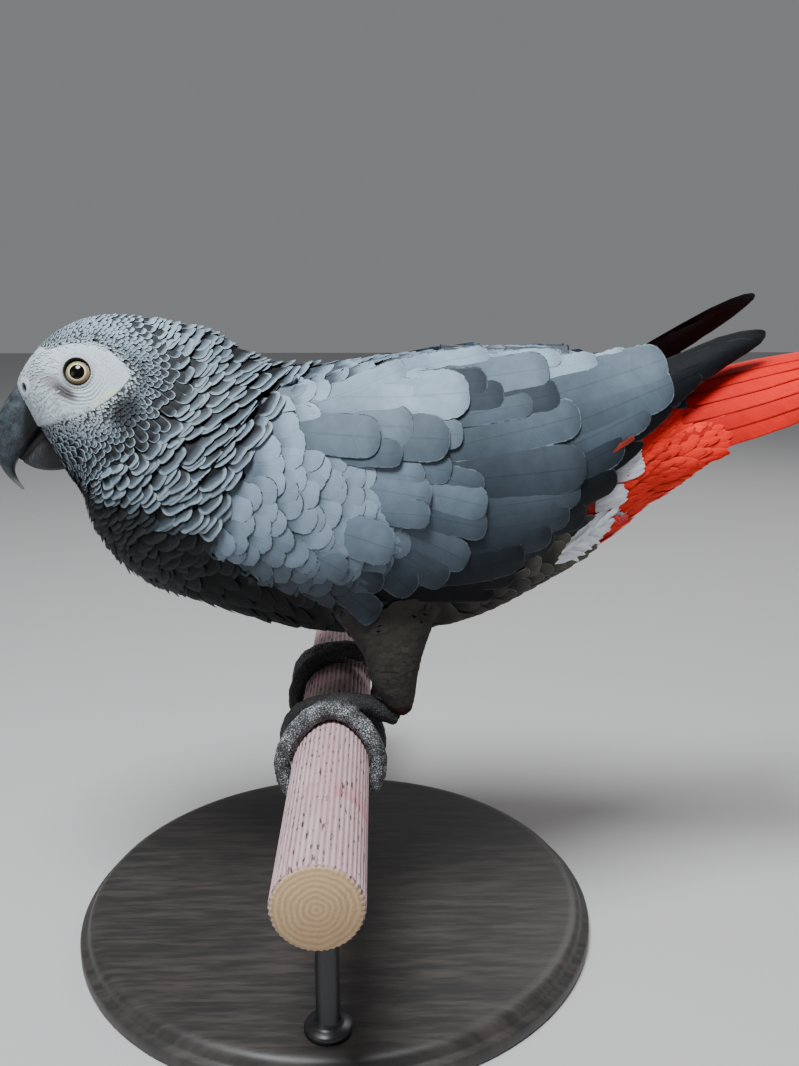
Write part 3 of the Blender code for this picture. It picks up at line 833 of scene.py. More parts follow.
def feather_look(
    name, rim_colour, rim_mm=0.5, dark=(1.0, 4.0, 0.6), edge_shadow=0.0, gloss=0.62, shaft=0.2, tip=0.0, barb=0.6,
    ragged=0.3, contrast=0.5, mottle=0.3, shine=0.25, soft=1.35, fade=0.0
):
    """Vanes with fine slanting barbs, a shaft, a dark base and a rim of even width.

    rim_mm, barb and ragged are millimetres. dark is where the dark base starts and is full,
    in millimetres from the tip, and how dark it is; the dark base is partly the feathers' own
    colour and partly painted shade between overlapping feathers. edge_shadow, a broken black
    line along the edges, is painted shadow. edge_shadow, shaft, tip and fade are shares.
    """
    look = Look(name)
    u, v, _ = look.axes(look.node("UVMap", {"uv_map": "Vane"}))
    tint, gap = look.stored("tint"), look.stored("tint", 3) * GAP_UNIT
    rim, luck, long = look.axes(look.stored("trim"))
    side = abs(u * 2 - 1)
    lane = v * long * LENGTH_UNIT - side * SLANT
    fan = look.node("CombineXYZ", (), {0: lane * (1.8 / barb), 1: side * 0.5, 2: luck * 40})
    streak = look.node("TexNoise", (), {"Vector": fan, "Scale": 1.0, "Detail": 3.0}) - 0.5
    fine = (lane * (2 * pi / barb) + luck * 9).wave()
    cloud = look.noise(190, 4) - 0.5
    from_tip = (1 - v) * long * LENGTH_UNIT
    low, high, share = dark
    colour = look.scaled(tint, 1.0 + streak * contrast + fine * 0.03 + cloud * mottle)
    # the dark base: partly the feather's own colour, partly painted shade between overlapping feathers
    colour = look.mix(from_tip.step(low, high) * share, colour, BLACK)
    if tip:
        colour = look.mix((1 - from_tip.step(0.6, 7.0)) * tip, colour, BLACK)
    line = 1 - side.step(0.015, 0.06)
    colour = look.mix(line * shaft, colour, BLACK)
    worn = gap + streak * (rim_mm * 1.6) + (look.noise(700, 2) - 0.5) * ragged
    faded = 1.0 - from_tip.step(low * 1.5, high * 1.6) * fade
    colour = look.mix((1 - worn.step(rim_mm * 0.45, rim_mm * soft)) * rim * faded, colour, rim_colour)
    # painted shadow: a broken black line along the vane's edges
    if edge_shadow:
        broken = look.noise(300, 3).step(0.44, 0.54)
        colour = look.mix((1 - worn.step(0.12, 0.42)) * broken * edge_shadow, colour, BLACK)
    height = fine * 0.25 + line * 0.5 + streak * 0.8
    return look.finish(
        Base_Color=colour,
        Roughness=gloss + streak * 0.2,
        Normal=look.bump(height, 0.00008, 0.6),
        Specular_IOR_Level=shine,
    )


RIM = (0.36, 0.44, 0.51)
print("vanes can be painted")

# %% [markdown]
# ## The coat of head, neck and body
#
# The small feathers stand in columns that run along the body. Each column starts half a
# step after its neighbour, which gives the staggered scales of a parrot's neck. The head
# has many narrow columns and the trunk a few wide ones, so the coat is made in bands.
#
# Two places need more care. Between the folded wings the body has furrows, so the feathers
# of the back lie on a smooth lid over them. Round the bare face the feathers are tiny and
# grow with the distance from it. Columns would crowd there, so those are set one by one.

# %% Bands of feathers from the throat to the rump
# Each band: name, first rib, last rib, columns, exposed length, width, length, height of the
# root, of the tip, curl, shape.
BANDS = (
    ("crown", 0.15, 1.6, 112, 1.35, 2.0, 3.8, -0.8, 0.3, 0.3, "scale"),
    ("crown", 1.6, 2.6, 96, 1.6, 2.6, 4.8, -1.1, 0.4, 0.3, "scale"),
    ("crown", 2.6, 3.4, 74, 1.9, 3.8, 6.6, -1.5, 0.5, 0.4, "scale"),
    ("neck", 3.4, 4.1, 58, 2.1, 5.6, 9.0, -2.1, 0.8, 0.5, "arc"),
    ("neck", 4.1, 5.0, 45, 2.5, 8.4, 12.0, -2.6, 0.9, 0.7, "arc"),
    ("neck", 5.0, 6.5, 35, 3.1, 11.4, 15.0, -2.8, 1.0, 0.8, "arc"),
    ("body", 6.5, 12.0, 32, 5.4, 12.5, 19.0, -2.2, 0.5, 0.0, "scale"),
    ("body", 12.0, 14.0, 28, 6.0, 10.0, 18.0, -2.2, 0.7, 0.0, "scale"),
)
# The border between neck and wing, from the bottom up: z, x.
BORDER = (
    (40, 30), (46, 4), (53.5, -14), (64.5, -36), (79.5, -54), (87.7, -41), (102.6, -31.3),
    (120.1, -23.4), (136, -19.5), (142, -15),
)
DOWN = Vector((0, 0, -1))
HEAD_GAP = 16.0  # nearer to the bare face than this, the feathers are set one by one
coats = {"crown": Coat(turns=FEW_TURNS), "neck": Coat(), "body": Coat()}


def border_x(z):
    """Where the wing begins at a height, as x."""
    return float(np.interp(z, *zip(*BORDER)))


def beside_wing(place):
    """Whether a place is at the height of the wing and on the side of the body."""
    return 44 < place.z < 131 and abs(place.y) > 22


def on_the_wing(place):
    """Whether the wing's own feathers cover a place of the form."""
    return beside_wing(place) and border_x(place.z) + 1.5 < place.x < 60


def lie(s, angle):
    """The direction in which feathers lie at a point of the body, and the ribs' pace there."""
    ahead = rib_point(s + 0.01, angle) - rib_point(s, angle)
    lean = 0.62 * blend(2.2, 4.0, s) * (1 - blend(6.3, 7.5, s))
    return ahead.normalized() + DOWN * (lean + 0.10 * chance.standard_normal()), ahead.length / 0.01


print(sum(band[3] for band in BANDS), "columns in", len(BANDS), "bands")


# %% A lid over the furrows of the back
# It is the height of the form's top over a grid, with its furrows closed and its steps
# rounded off: the highest neighbour of each place, then the lowest, then three means.
LID_HALF = 17.5  # how far from the middle plane feathers lie on it
SKY = 200  # a height over all of the bird, from which rays are cast


def gathered(grid, pick, along, across):
    """For each value of a grid, the highest, lowest or mean value (pick) of its neighbours."""
    rows, columns = grid.shape
    wide = np.pad(grid, ((along, along), (across, across)), mode="edge")
    places = [(i, j) for i in range(2 * along + 1) for j in range(2 * across + 1)]
    return pick([wide[i : i + rows, j : j + columns] for i, j in places], axis=0)


def top_height(x, y, nothing=122.0):
    """The height of the form's top over a place, or the one given where there is no form."""
    place, _, _, _ = form_tree.ray_cast(Vector((x, y, SKY)), DOWN)
    return place.z if place else nothing


def under_lid(point):
    """Whether the feathers at a point of the body lie on the lid."""
    return -12 < point.x < 134 and abs(point.y) < LID_HALF and point.z > 117


lid_x, lid_y = np.arange(-24, 141, 2.0), np.arange(-28, 29, 2.0)
lid = np.array([[top_height(x, y) for y in lid_y] for x in lid_x])
smooth = gathered(gathered(lid, np.max, 2, 5), np.min, 2, 5)
ends = gathered(smooth, np.max, 5, 0)  # behind the arms the lid stays up, so their ends don't show
smooth += (ends - smooth) * np.array([[blend(64, 78, x)] for x in lid_x])
for _ in range(3):
    smooth = gathered(smooth, np.mean, 4, 1)
lid += (smooth - lid) * np.array([1 - blend(14, 20, abs(y)) for y in lid_y])
corners = [(x, y, z) for x, row in zip(lid_x, lid) for y, z in zip(lid_y, row)]
wide = len(lid_y)
squares = [(k, k + wide, k + wide + 1, k + 1) for k in range(len(corners) - wide) if (k + 1) % wide]
lid_tree = BVHTree.FromPolygons(corners, squares)
print("the lid is", round(float(lid.max()), 1), "mm over the perch")

# %% The rows of feathers of neck and body
HIDDEN = 2.6  # a rib's point this far under the form is under a wing or a thigh
HEAD_OVERLAP = 2.5  # the rows reach this far into the zone of the feathers set one by one
LAST_ROWS = 17  # nearer to the wing than this, the feathers before it are shortened


def past_the_rump(place):
    """Whether a place is below the tail or beside its root, where other feathers grow."""
    return place.x > 92 and place.z < 121 or place.x > 124 and abs(place.y) > 14


for name, first, last, columns, shown, width, length, low, high, curl, shape in BANDS:
    for column in range(columns):
        angle = 2 * pi * (column + 0.5) / columns - pi
        s = first + (0.5 * (column % 2) + 0.15 * chance.random()) * shown / lie(first, angle)[1]
        while s < last:
            here = rib_point(s, angle + 0.3 * chance.standard_normal() / columns)
            ahead, pace = lie(s, angle)
            s += shown / pace * (1 + 0.08 * chance.standard_normal())
            tree = lid_tree if name == "body" and under_lid(here) else form_tree
            if tree is lid_tree:
                place, normal, _, _ = tree.ray_cast(Vector((here.x, here.y, SKY)), DOWN)
                normal = normal if normal.z > 0 else -normal
            else:
                place, normal, _, _ = tree.find_nearest(here)
                if (place - here).length > HIDDEN or on_the_wing(place):
                    continue
            if past_the_rump(place):
                continue
            head = turned(*place, back=True)
            if place.x < -60 and -face_depth(head.x, head.z) < HEAD_GAP - HEAD_OVERLAP:
                continue
            colour, rim = plumage(place)
            breast = blend(0.0, 1.0, (86 - place.z) / 16) * (1 - blend(-30, 10, place.x))
            kind = "lance" if chance.random() < breast * 0.7 else shape
            size = 1 + 0.1 * chance.standard_normal()
            ahead += ahead.cross(normal) * (0.10 * chance.standard_normal())
            patch = (0.02 + 0.96 * (angle + pi) / (2 * pi), 0.02 + 0.96 * s / LAST_RIB)
            coat, reach = name, border_x(place.z) - place.x
            if name == "body" and beside_wing(place) and reach < LAST_ROWS and place.x < 0:
                coat, kind, size = "neck", "arc", min(1, max(9, reach + 5) / length)
            coats[coat].lay(
                drape(tree, place, ahead, normal), length * size, width * size, kind, colour,
                rim * (0.55 + 0.45 * chance.random()), (low, high + 0.8 * breast * chance.random()), patch,
                curl=curl * (0.5 + chance.random()),
            )
print({name: coat.count for name, coat in coats.items()})

# %% Feathers of the head, set one by one round the bare face
# A new one is only set where no other is too near, so that they keep an even, staggered
# spacing while their size changes.
TRIES, MOST_FLECKS, FAR_AWAY = 64000, 9000, 1e6
SPACING = 0.60  # the least distance between two roots, as a share of the width
FLECK_ZONE = 4.5  # nearer to the bare face than this they are flecks, and scales beyond it
flecks = Coat(FEW_ACROSS, FEW_TURNS)
places, taken = np.full((MOST_FLECKS, 3), FAR_AWAY), 0
for _ in range(TRIES):
    s, angle = 0.1 + 6.0 * chance.random(), 2 * pi * chance.random() - pi
    place, normal, _, _ = form_tree.find_nearest(rib_point(s, angle))
    head = turned(*place, back=True)
    away = -face_depth(head.x, head.z)
    lower = (1 - blend(122, 131, head.z)) * blend(-113, -107, head.x)
    if away > HEAD_GAP or away < -1.6 - 2.2 * lower:
        continue
    back = blend(-98, -86, head.x)
    width = 1.0 + 0.17 * max(0, away) + 0.20 * max(0, away - 8) * back
    if ((places[:taken] - place) ** 2).sum(axis=1).min(initial=FAR_AWAY) < (SPACING * width) ** 2:
        continue
    places[taken] = place
    taken += 1
    if chance.random() < -away / (1.8 + 2.4 * lower):
        continue
    colour, rim = plumage(place)
    if away < 0:
        colour, rim = mixed(colour, WHITE, min(1, 0.5 - 0.4 * away)), 0.0
    ahead, _ = lie(s, angle)
    tips = (-0.55, 0.12 + 0.028 * max(0, away))
    patch = (0.02 + 0.96 * (angle + pi) / (2 * pi), 0.02 + 0.22 * s)
    coat = flecks if away < FLECK_ZONE else coats["crown"]
    coat.lay(
        drape(form_tree, place, ahead, normal, 4), (2.3 if away < 2 else 1.95) * width, width,
        "lance" if away < 2 else "fleck" if away < FLECK_ZONE else "scale", colour,
        rim * blend(0.5, 7, away) * (0.7 + 0.3 * chance.random()), tips, patch, 0.16,
        curl=0.12 * width * chance.random(),
    )
print(taken, "places round the bare face")

# %% The finishes of head, neck and body
crown_look = feather_look(
    "crown_feathers", RIM, 0.28, (0.6, 2.1, 0.95), shaft=0.0, barb=0.4, ragged=0.2, contrast=0.4,
    soft=1.7, fade=0.7
)
fleck_look = feather_look(
    "face_flecks", RIM, 0.2, (0.45, 1.4, 0.9), shaft=0.0, barb=0.3, ragged=0.15, contrast=0.3
)
# the neck's near-black base is mostly painted shade between the overlapping feathers
neck_look = feather_look(
    "neck_feathers", (0.26, 0.325, 0.38), 0.50, (1.1, 4.4, 0.98), shaft=0.0, barb=0.4, contrast=1.2,
    ragged=0.5, soft=3.5, fade=0.9
)
body_look = feather_look(
    "body_feathers", (0.30, 0.34, 0.37), 0.4, (1.4, 7.0, 0.8), shaft=0.05, gloss=0.75, contrast=0.8, fade=0.5
)
for name, look in (("crown", crown_look), ("neck", neck_look), ("body", body_look)):
    coats[name].piece(f"coat_{name}", look, "plumage_grey")
flecks.piece("coat_face", fleck_look, "plumage_grey")

# %% Short white bristles over the cere and the lores
BESIDE = 60  # further out than the sides of the body, from where rays are cast
BRISTLE_TRIES = 1500
bristles = Coat(FEW_ACROSS, FEW_TURNS)
for _ in range(BRISTLE_TRIES):
    x, z, side = -122 + 22 * chance.random(), 116 + 30 * chance.random(), -1 if chance.random() < 0.5 else 1
    from_eye = hypot(x - EYE.x, z - EYE.z)
    if face_depth(x, z) < 0.2 or from_eye < 8.5 or chance.random() > 1 - blend(-114, -101, x) * 0.9:
        continue
    if from_nostril(x, z, 1.6, 2.4) < 1 or lore_share(x, z) > chance.random():
        continue
    start = turned(x, side * BESIDE, z)
    place, normal, _, _ = form_tree.ray_cast(start, (turned(x, 0, z) - start).normalized(), BESIDE + 2)
    if place is None:
        continue
    rise = blend(-108, -118, x)
    along = Vector((0.9, side * 0.2, 0.5 - 0.05 * (z - 128)))
    bristles.lay(
        drape(form_tree, place, along, normal, 3), 1.9 + 0.9 * chance.random(), 0.42, "lance",
        mixed(face_tint(x, z), WHITE, 0.85), 0.0, (-0.15, 0.12 + 0.5 * rise * chance.random()),
        ((x + 125) / 30, (z - 110) / 80 + 0.25 * side + 0.25),
    )
bristle_look = feather_look("bristles", WHITE, 0.2, (5.0, 9.0, 0.1), shaft=0.0, gloss=0.8, contrast=0.1)
bristles.piece("face_bristles", bristle_look, "plumage_pale")

# %% [markdown]
# ## The wings
#
# A folded wing shows its feathers in fixed groups: small scales on the shoulder, rounded
# coverts below them, a smooth band of shoulder feathers above, then the long quills with
# the tertials on top and the dark primaries underneath. The many scales follow a rule. The
# large feathers are few and each shows on its own, so they are listed one by one. Each is
# drawn in the side view by its root and its tip, and its points are cast sideways onto the
# wing, which bends it over the wing's round outside.


# %% The side of a wing
SIDES = ((-1, "left"), (1, "right"))
WING_VOXEL, WING_ROUNDS = 1.3, 6
RAISED_LIFT, RAISED_SHIFT = 13.5, 3  # how far up and back the tip of the right wing stands
RAISED_FROM, RAISED_OVER = 100, 72  # where that begins, as x, and the length it grows over
OUTSIDE = 90  # further out than the wings, from where rays are cast
wing_trees = {}
for side, name in SIDES:
    blades = copy_of(*(f"wing_{name}_{part}" for part in ("coverts", "secondaries", "primaries")))
    wing = remeshed(blades, WING_VOXEL, WING_ROUNDS)
    wing.normal_update()
    wing_trees[side] = BVHTree.FromBMesh(wing)
    wing.free()


def on_wing(side, x, z):
    """The place and the outward normal of a wing at a point of its side view."""
    raised = min(1, max(0, (x - RAISED_FROM) / RAISED_OVER)) if side > 0 else 0
    x, z = x + RAISED_SHIFT * raised, z + RAISED_LIFT * raised
    tree = wing_trees[side]
    start = Vector((x, side * OUTSIDE, z))
    place, facing, _, _ = tree.ray_cast(start, Vector((0, -side, 0)), OUTSIDE)
    if place is None or place.y * side < 0:
        near, _, _, _ = tree.find_nearest(Vector((x, side * (9 + 7 * raised), z)))
        return Vector((x, near.y, z)), Vector((0, side, 0))
    if facing.y * side < 0:
        facing = -facing
    return place, (facing + Vector((0, side * 0.8, 0))).normalized()


def side_drop(side, x, z, dx, dz):
    """A drop function for a feather on a wing, from its root and direction in the side view."""
    size = hypot(dx, dz)
    dx, dz = dx / size, dz / size

    def drop(a, b):
        return on_wing(side, x + dx * a - side * dz * b, z + dz * a + side * dx * b)

    return drop


print("two wings to dress")

# %% The lists of the wing's large feathers
# Each one: root x, z, tip x, z, width, height of the root, of the tip, bow upward, colour,
# how pale its rim is, and how far the end is lifted. From the lowest feather to the highest.
# The colours of both lists are the wing's slate grey, darkened low on the wing and lightened high up as
# painted shade and light; the primaries are truly near black.
SLATE = (0.0060, 0.0068, 0.0085)
DUSK = (0.034, 0.046, 0.059)
MID = (0.072, 0.096, 0.120)
PALE = (0.108, 0.144, 0.180)
SILVER = (0.238, 0.312, 0.385)
QUILLS = (
    (62, 110, 172.5, 145.5, 12, 0.0, 0.2, 5, SLATE, 0.04, 0),
    (62, 106, 166.5, 141.5, 12, 0.1, 0.3, 6, SLATE, 0.04, 0),
    (60, 101, 158, 136.5, 12, 0.2, 0.4, 7, SLATE, 0.04, 0),
    (58, 96, 146.5, 127.5, 13, 0.3, 0.5, 7, SLATE, 0.1, 0),
    (57, 91, 134.5, 117, 13, 0.4, 0.6, 6, SLATE, 0.12, 0),
    (56, 86, 122.5, 104.5, 13, 0.5, 0.7, 5, SLATE, 0.12, 0),
    (54, 81, 111.5, 92.5, 13, 0.6, 0.8, 4, (0.010, 0.0125, 0.015), 0.15, 0),
    (50, 75, 99.5, 80, 13, 0.7, 0.9, 3, (0.014, 0.017, 0.021), 0.15, 0),
    (42, 68, 87, 70, 12, 0.8, 1.0, 3, (0.017, 0.021, 0.025), 0.15, 0),
    (8, 53, 64, 55.5, 11, 0.3, 0.7, -2, SLATE, 0.1, 0),
    (12, 58, 72, 60.5, 12, 0.4, 0.9, -1, (0.009, 0.011, 0.013), 0.12, 0),
    (52, 123, 118, 139.5, 9, 0.6, 0.9, 2, SILVER, 0.3, 0),
    (58, 90, 113.5, 106.5, 15, 0.7, 1.0, 4, DUSK, 0.7, 0),
    (56, 98, 124, 119, 15, 0.8, 1.1, 4, MID, 0.5, 0),
    (58, 108, 133, 128, 17, 0.9, 1.2, 4, (0.084, 0.112, 0.140), 0.6, 0),
    (56, 121, 131, 137, 16, 1.0, 1.4, 3, (0.088, 0.117, 0.147), 0.5, 0),
    (29.5, 61, 75, 66.5, 15, 0.8, 1.3, 2, (0.018, 0.024, 0.030), 0.2, 0.3),
    (31, 70.4, 85.2, 74, 12.5, 0.9, 1.4, 2, DUSK, 0.25, 0.2),
    (32.6, 78.3, 91.7, 81.5, 12, 1.0, 1.5, 2, (0.048, 0.064, 0.080), 0.2, 0.2),
    (34.2, 87, 95.4, 90, 12, 1.1, 1.6, 2, MID, 0.2, 0.2),
    (35.9, 98, 96.9, 101.1, 18.5, 1.2, 1.9, 1, (0.052, 0.069, 0.086), 0.12, 0.6),
    (34.3, 108.5, 95, 118.5, 15, 1.3, 2.0, 2, MID, 0.45, 0.3),
    (36.1, 119, 87.2, 127.2, 12.5, 1.4, 2.1, 1, DUSK, 0.15, 0.3),
    (34.5, 119, 77, 123.8, 9, 1.5, 2.2, 1, MID, 0.15, 0.2),
    (29.7, 131, 84.3, 135.6, 12.5, 1.5, 2.2, 1, PALE, 0.1, 0.4),
    (50, 134, 104, 138, 8, 1.0, 1.4, 1, SILVER, 0.2, 0),
    (28, 135.5, 90, 140.3, 7, 1.4, 1.7, 1, SILVER, 0.2, 0),
    (10, 134.5, 62, 141, 8, 1.6, 1.9, 1, SILVER, 0.2, 0),
    (24.6, 126, 66.3, 128, 11.5, 1.5, 2.2, 0, DUSK, 0.3, 0.2),
    (24.7, 131.5, 60.2, 132.3, 10, 1.6, 2.3, 0, DUSK, 0.3, 0.2),
    (-12, 123, 30, 136, 9, 1.5, 1.8, 1, SILVER, 0.25, 0),
    (-8, 117, 40, 133, 10, 1.6, 2.0, 1, SILVER, 0.25, 0),
    (14, 115.5, 50.2, 114.5, 11, 1.4, 2.4, 0, PALE, 0.25, 0.8),
    (-2, 119, 32, 117, 15, 1.4, 2.2, 0, PALE, 0.15, 0.5),
    (4.9, 115.4, 45.2, 112.8, 16.5, 1.5, 2.9, 0, MID, 0.25, 1.1),
    (-14, 116.5, 20, 113.5, 15, 1.5, 2.6, 0, PALE, 0.1, 0.8),
    (0, 108.8, 28, 108.3, 10, 1.6, 2.8, 0, MID, 0.15, 0.9),
    (-6, 128, 45, 127, 13, 1.6, 2.6, 0, SILVER, 0.15, 0.3),
    (4, 126.5, 53, 128.2, 17, 1.7, 3.0, 0, SILVER, 0.3, 0.6),
    (101, 103.8, 116.5, 111.6, 2.3, 1.35, 1.6, 0.5, (0.30, 0.032, 0.020), 0.1, 0),
)
COVERTS = (
    (-1.4, 62, 20.5, 45.5, 13, 0.4, 1.3, -3, DUSK, 0.15, 0.3),
    (2.8, 66, 21, 59.5, 11, 0.5, 1.3, -1, DUSK, 0.2, 0.2),
    (12.8, 72, 33.5, 57, 14, 0.6, 1.7, -2, DUSK, 0.2, 0.5),
    (21, 75, 45.6, 61.2, 14, 0.7, 1.8, -2, (0.048, 0.064, 0.080), 0.2, 0.6),
    (27.7, 80.2, 53.2, 69.5, 13.5, 0.8, 2.0, -2, MID, 0.2, 0.6),
    (26, 88, 59.3, 82, 12, 0.9, 2.2, -1, MID, 0.25, 0.7),
    (26, 96.8, 59.3, 90, 13, 1.0, 2.4, -1, PALE, 0.2, 0.7),
    (26.1, 103.1, 58, 96.5, 11, 1.1, 2.1, -1, MID, 0.25, 0.3),
    (24.5, 106.3, 46, 101.8, 11, 1.1, 2.0, 0, MID, 0.15, 0.3),
    (-12, 74, 8, 66, 12, 0.6, 1.5, -2, PALE, 0.15, 0.3),
    (1.5, 81, 24.9, 75.1, 17, 1.0, 3.2, -1, PALE, 0.2, 1.3),
    (14.6, 87.8, 37.8, 86.6, 11, 1.1, 3.2, 0, PALE, 0.25, 1.2),
    (11.4, 97, 38.5, 92.6, 14, 1.2, 2.6, 0, PALE, 0.2, 0.5),
    (12, 103.5, 36, 99.5, 11, 1.2, 2.2, 0, PALE, 0.15, 0.3),
)
print(len(QUILLS) + len(COVERTS), "large feathers on each wing")

# %% The finishes of the wings
WING_RIM = (0.30, 0.36, 0.41)
quill_look = feather_look(
    "quills", WING_RIM, 0.40, (14.0, 40.0, 0.35), edge_shadow=0.75, gloss=0.6, shaft=0.16, tip=0.25, barb=0.5,
    ragged=0.15, contrast=0.28, mottle=0.5, shine=0.12
)
scale_look = feather_look(
    "wing_scales", WING_RIM, 0.5, (3.5, 10.0, 0.55), edge_shadow=0.95, shaft=0.0, barb=0.6, contrast=0.3,
    mottle=0.45
)
print("wing finishes:", quill_look.name, scale_look.name)

# %% Dressing the wings
PRIMARIES = 6  # the first of the list have the long narrow tips of primaries
UNDER_BLADE = (11, 13, 14, 15)  # on the right side these lie lower, under its raised blade
LONG_QUILL = 36  # feathers longer than this end like quills
RANKS, PER_RANK, LOWEST_RANK, RANK_RISE = 20, 14, 46, 5.0
GOLDEN = 0.618  # steps of the golden ratio spread numbers evenly between 0 and 1
# the near-black grey that the low scales are darkened to, as painted shade
WING_SHADE = (0.026, 0.034, 0.043)
LOWER_EDGE = -0.62  # where the form faces down more than this, the wing's scales end
CELL = 0.124  # the step between two large feathers in the map for baking
for side, name in SIDES:
    quills, scales = Coat(strict=False), Coat()
    for number, (x, z, tip_x, tip_z, width, low, high, bow, colour, rim, curl) in enumerate(QUILLS + COVERTS):
        jitter = chance.standard_normal(4) * (0 if side < 0 else 1.0)
        x, z, tip_x, tip_z = (a + b for a, b in zip((x, z, tip_x, tip_z), jitter))
        if side > 0 and number in UNDER_BLADE:
            tip_z, tip_x, width = tip_z - 7, tip_x - 4, width - 4
        cell = (0.07 + CELL * (number % 8), 0.07 + CELL * (number // 8))
        length = hypot(tip_x - x, tip_z - z)
        shape = "primary" if number < PRIMARIES else "quill" if length > LONG_QUILL else "broad"
        tucked = 1.2 * (1 - blend(14, 28, x))  # the front ones begin under the scales
        quills.lay(
            side_drop(side, x, z, tip_x - x, tip_z - z), length, width, shape, colour, rim,
            (low - 0.6 - tucked, high - 0.4), cell, 0.08, bow * side, 0.11, curl,
        )
    for rank in range(RANKS):
        for row in range(PER_RANK):
            z = LOWEST_RANK + rank * RANK_RISE + 1.0 * chance.standard_normal()
            shown = 6.6 if z > 62 else 5.4
            x = border_x(z) + (row + rank * GOLDEN % 1) * shown - 3.5 + 0.9 * chance.standard_normal()
            stop = 17 - 22 * (1 - blend(62, 72, z)) - 30 * blend(103, 109, z)  # under the coverts
            if x > stop or z > 137:
                continue
            droop = radians(40) * (1 - blend(66, 112, z)) * (1 - blend(-20, 30, x))
            droop -= radians(8) * blend(112, 130, z)
            droop += radians(7) * chance.standard_normal()
            grow = (0.85 + 0.25 * blend(-45, 0, x)) * (1 - 0.25 * (1 - blend(56, 70, z)))
            # painted shade and light: the scales darken low on the wing, except at its very front, and
            # lighten near its top
            colour = mixed(GREY, WING_SHADE, 0.97 * (1 - blend(60, 90, z)) * blend(-72, -38, x))
            colour = mixed(colour, SILVER, 0.4 * blend(108, 130, z))
            place, normal = on_wing(side, x, z)
            if form_tree.find_nearest(place)[1].z < LOWER_EDGE:
                continue
            along = Vector((cos(droop), 0, -sin(droop)))
            scales.lay(
                drape(form_tree, place, along, normal), 17 * grow, 12.5 * grow, "scale", colour,
                0.06 + 0.25 * blend(106, 118, z), (-0.9, 0.5), ((x + 60) / 100, (z - 30) / 120), 0.05,
                curl=0.35 * chance.random() ** 2,
            )
    quills.piece(f"quills_{name}", quill_look, "plumage_grey", [f"wing_{name}_primaries"])
    scales.piece(f"coverts_{name}", scale_look, "plumage_grey")

# %% [markdown]
# ## The tail
#
# Twelve broad red feathers lie in a roof, the middle pair on top. They are laid on the
# tail's upper side in the same way as the body's feathers. Under them the deep rump is
# covered with soft, narrow red ones, and the white bases of two of them show between the
# rest. At each flank one loose white feather stands off the coat. No surface carries it, so
# it is laid along a bent line of its own.

# %% Tail feathers
tail_solid = copy_of("tail")
tail_tree = BVHTree.FromBMesh(tail_solid)
tail_solid.free()
TAIL_PAIRS = 6
TAIL_WIDTH = 13.5
# painted shadow: the dark red rim darkens each vane's edges, where it lies over the next
tail_look = feather_look(
    "tail_feathers", (0.24, 0.005, 0.004), 0.5, (30.0, 75.0, 0.35), gloss=0.7, shaft=0.12, barb=0.6,
    ragged=0.1, contrast=0.5, mottle=0.35, shine=0.12
)
vanes = Coat(strict=False)
for pair in reversed(range(TAIL_PAIRS)):
    for side in (-1, 1):
        angle = side * radians(5 + 14.4 * pair)
        root, tip = tail_point(0.15, angle), tail_point(5.93 - 0.06 * pair**1.5, angle * 0.95)
        place, normal, _, _ = tail_tree.find_nearest(root)
        under = TAIL_PAIRS - 1 - pair  # how many pairs this one lies over
        colour = mixed((0.66, 0.008, 0.005), (0.66, 0.016, 0.011), (pair / (TAIL_PAIRS - 1)) ** 3)
        height = 0.1 + 0.5 * under
        vanes.lay(
            drape(tail_tree, place, tip - root, normal, hold=True), (tip - root).length, TAIL_WIDTH,
            "quill", colour, 0.75, (height - 0.6, height - 0.3), (0.1 + 0.13 * pair, 0.3 + 0.2 * side),
            0.05, 0.0, 0.11,
        )
vanes.piece("tail_feathers", tail_look, "plumage_red", ["tail"])

# %% Soft feathers under the tail
UNDER_ROWS, UNDER_COLUMNS = 26, 34


def under_point(s, angle):
    """A point of the rump's underside: s runs from the belly to the tail, angle 0 is below."""
    axis = Vector((90, 0, 97)).lerp(Vector((172, 0, 127)), s)
    down = Vector((0.35, 0, -0.94))
    outward = down * cos(angle) + Vector((0, sin(angle), 0))
    place, normal, _, _ = form_tree.ray_cast(axis + outward * BESIDE, -outward, BESIDE + 2)
    return (place or axis), (normal or outward)


soft_look = feather_look(
    "soft_feathers", (0.88, 0.17, 0.11), 0.25, (4.0, 13.0, 0.45), gloss=0.85, shaft=0.0, barb=0.5,
    ragged=0.9, contrast=1.2, shine=0.12
)
under = Coat()
for row in range(UNDER_ROWS):
    for column in range(UNDER_COLUMNS):
        s = (row + 0.5 * (column % 2) + 0.6 * chance.random()) / UNDER_ROWS
        angle = radians(-120 + 240 * (column + 0.5) / UNDER_COLUMNS)
        root, normal = under_point(s, angle)
        ahead = under_point(s + 0.05, angle)[0] - root
        if ahead.length < 0.5 or root.x < 94 or root.x > 150 or (root.x > 143 and abs(angle) > 1.0):
            continue
        colour = mixed((0.80, 0.036, 0.024), (0.80, 0.024, 0.014), blend(84, 106, root.z))
        # in front they take the belly's beige, darkened as painted shade
        colour = mixed(BELLY_BEIGE_IN_SHADE, colour, blend(95, 99, root.x))
        under.lay(
            drape(form_tree, root, ahead + DOWN * 0.3 * chance.standard_normal(), normal),
            14 + 5 * chance.random(), 3.6, "lance", colour, 0.12, (-1.3, 0.25),
            (0.05 + 0.9 * s, 0.05 + 0.9 * (column + 0.5) / UNDER_COLUMNS), 0.12, curl=0.6 * chance.random(),
        )

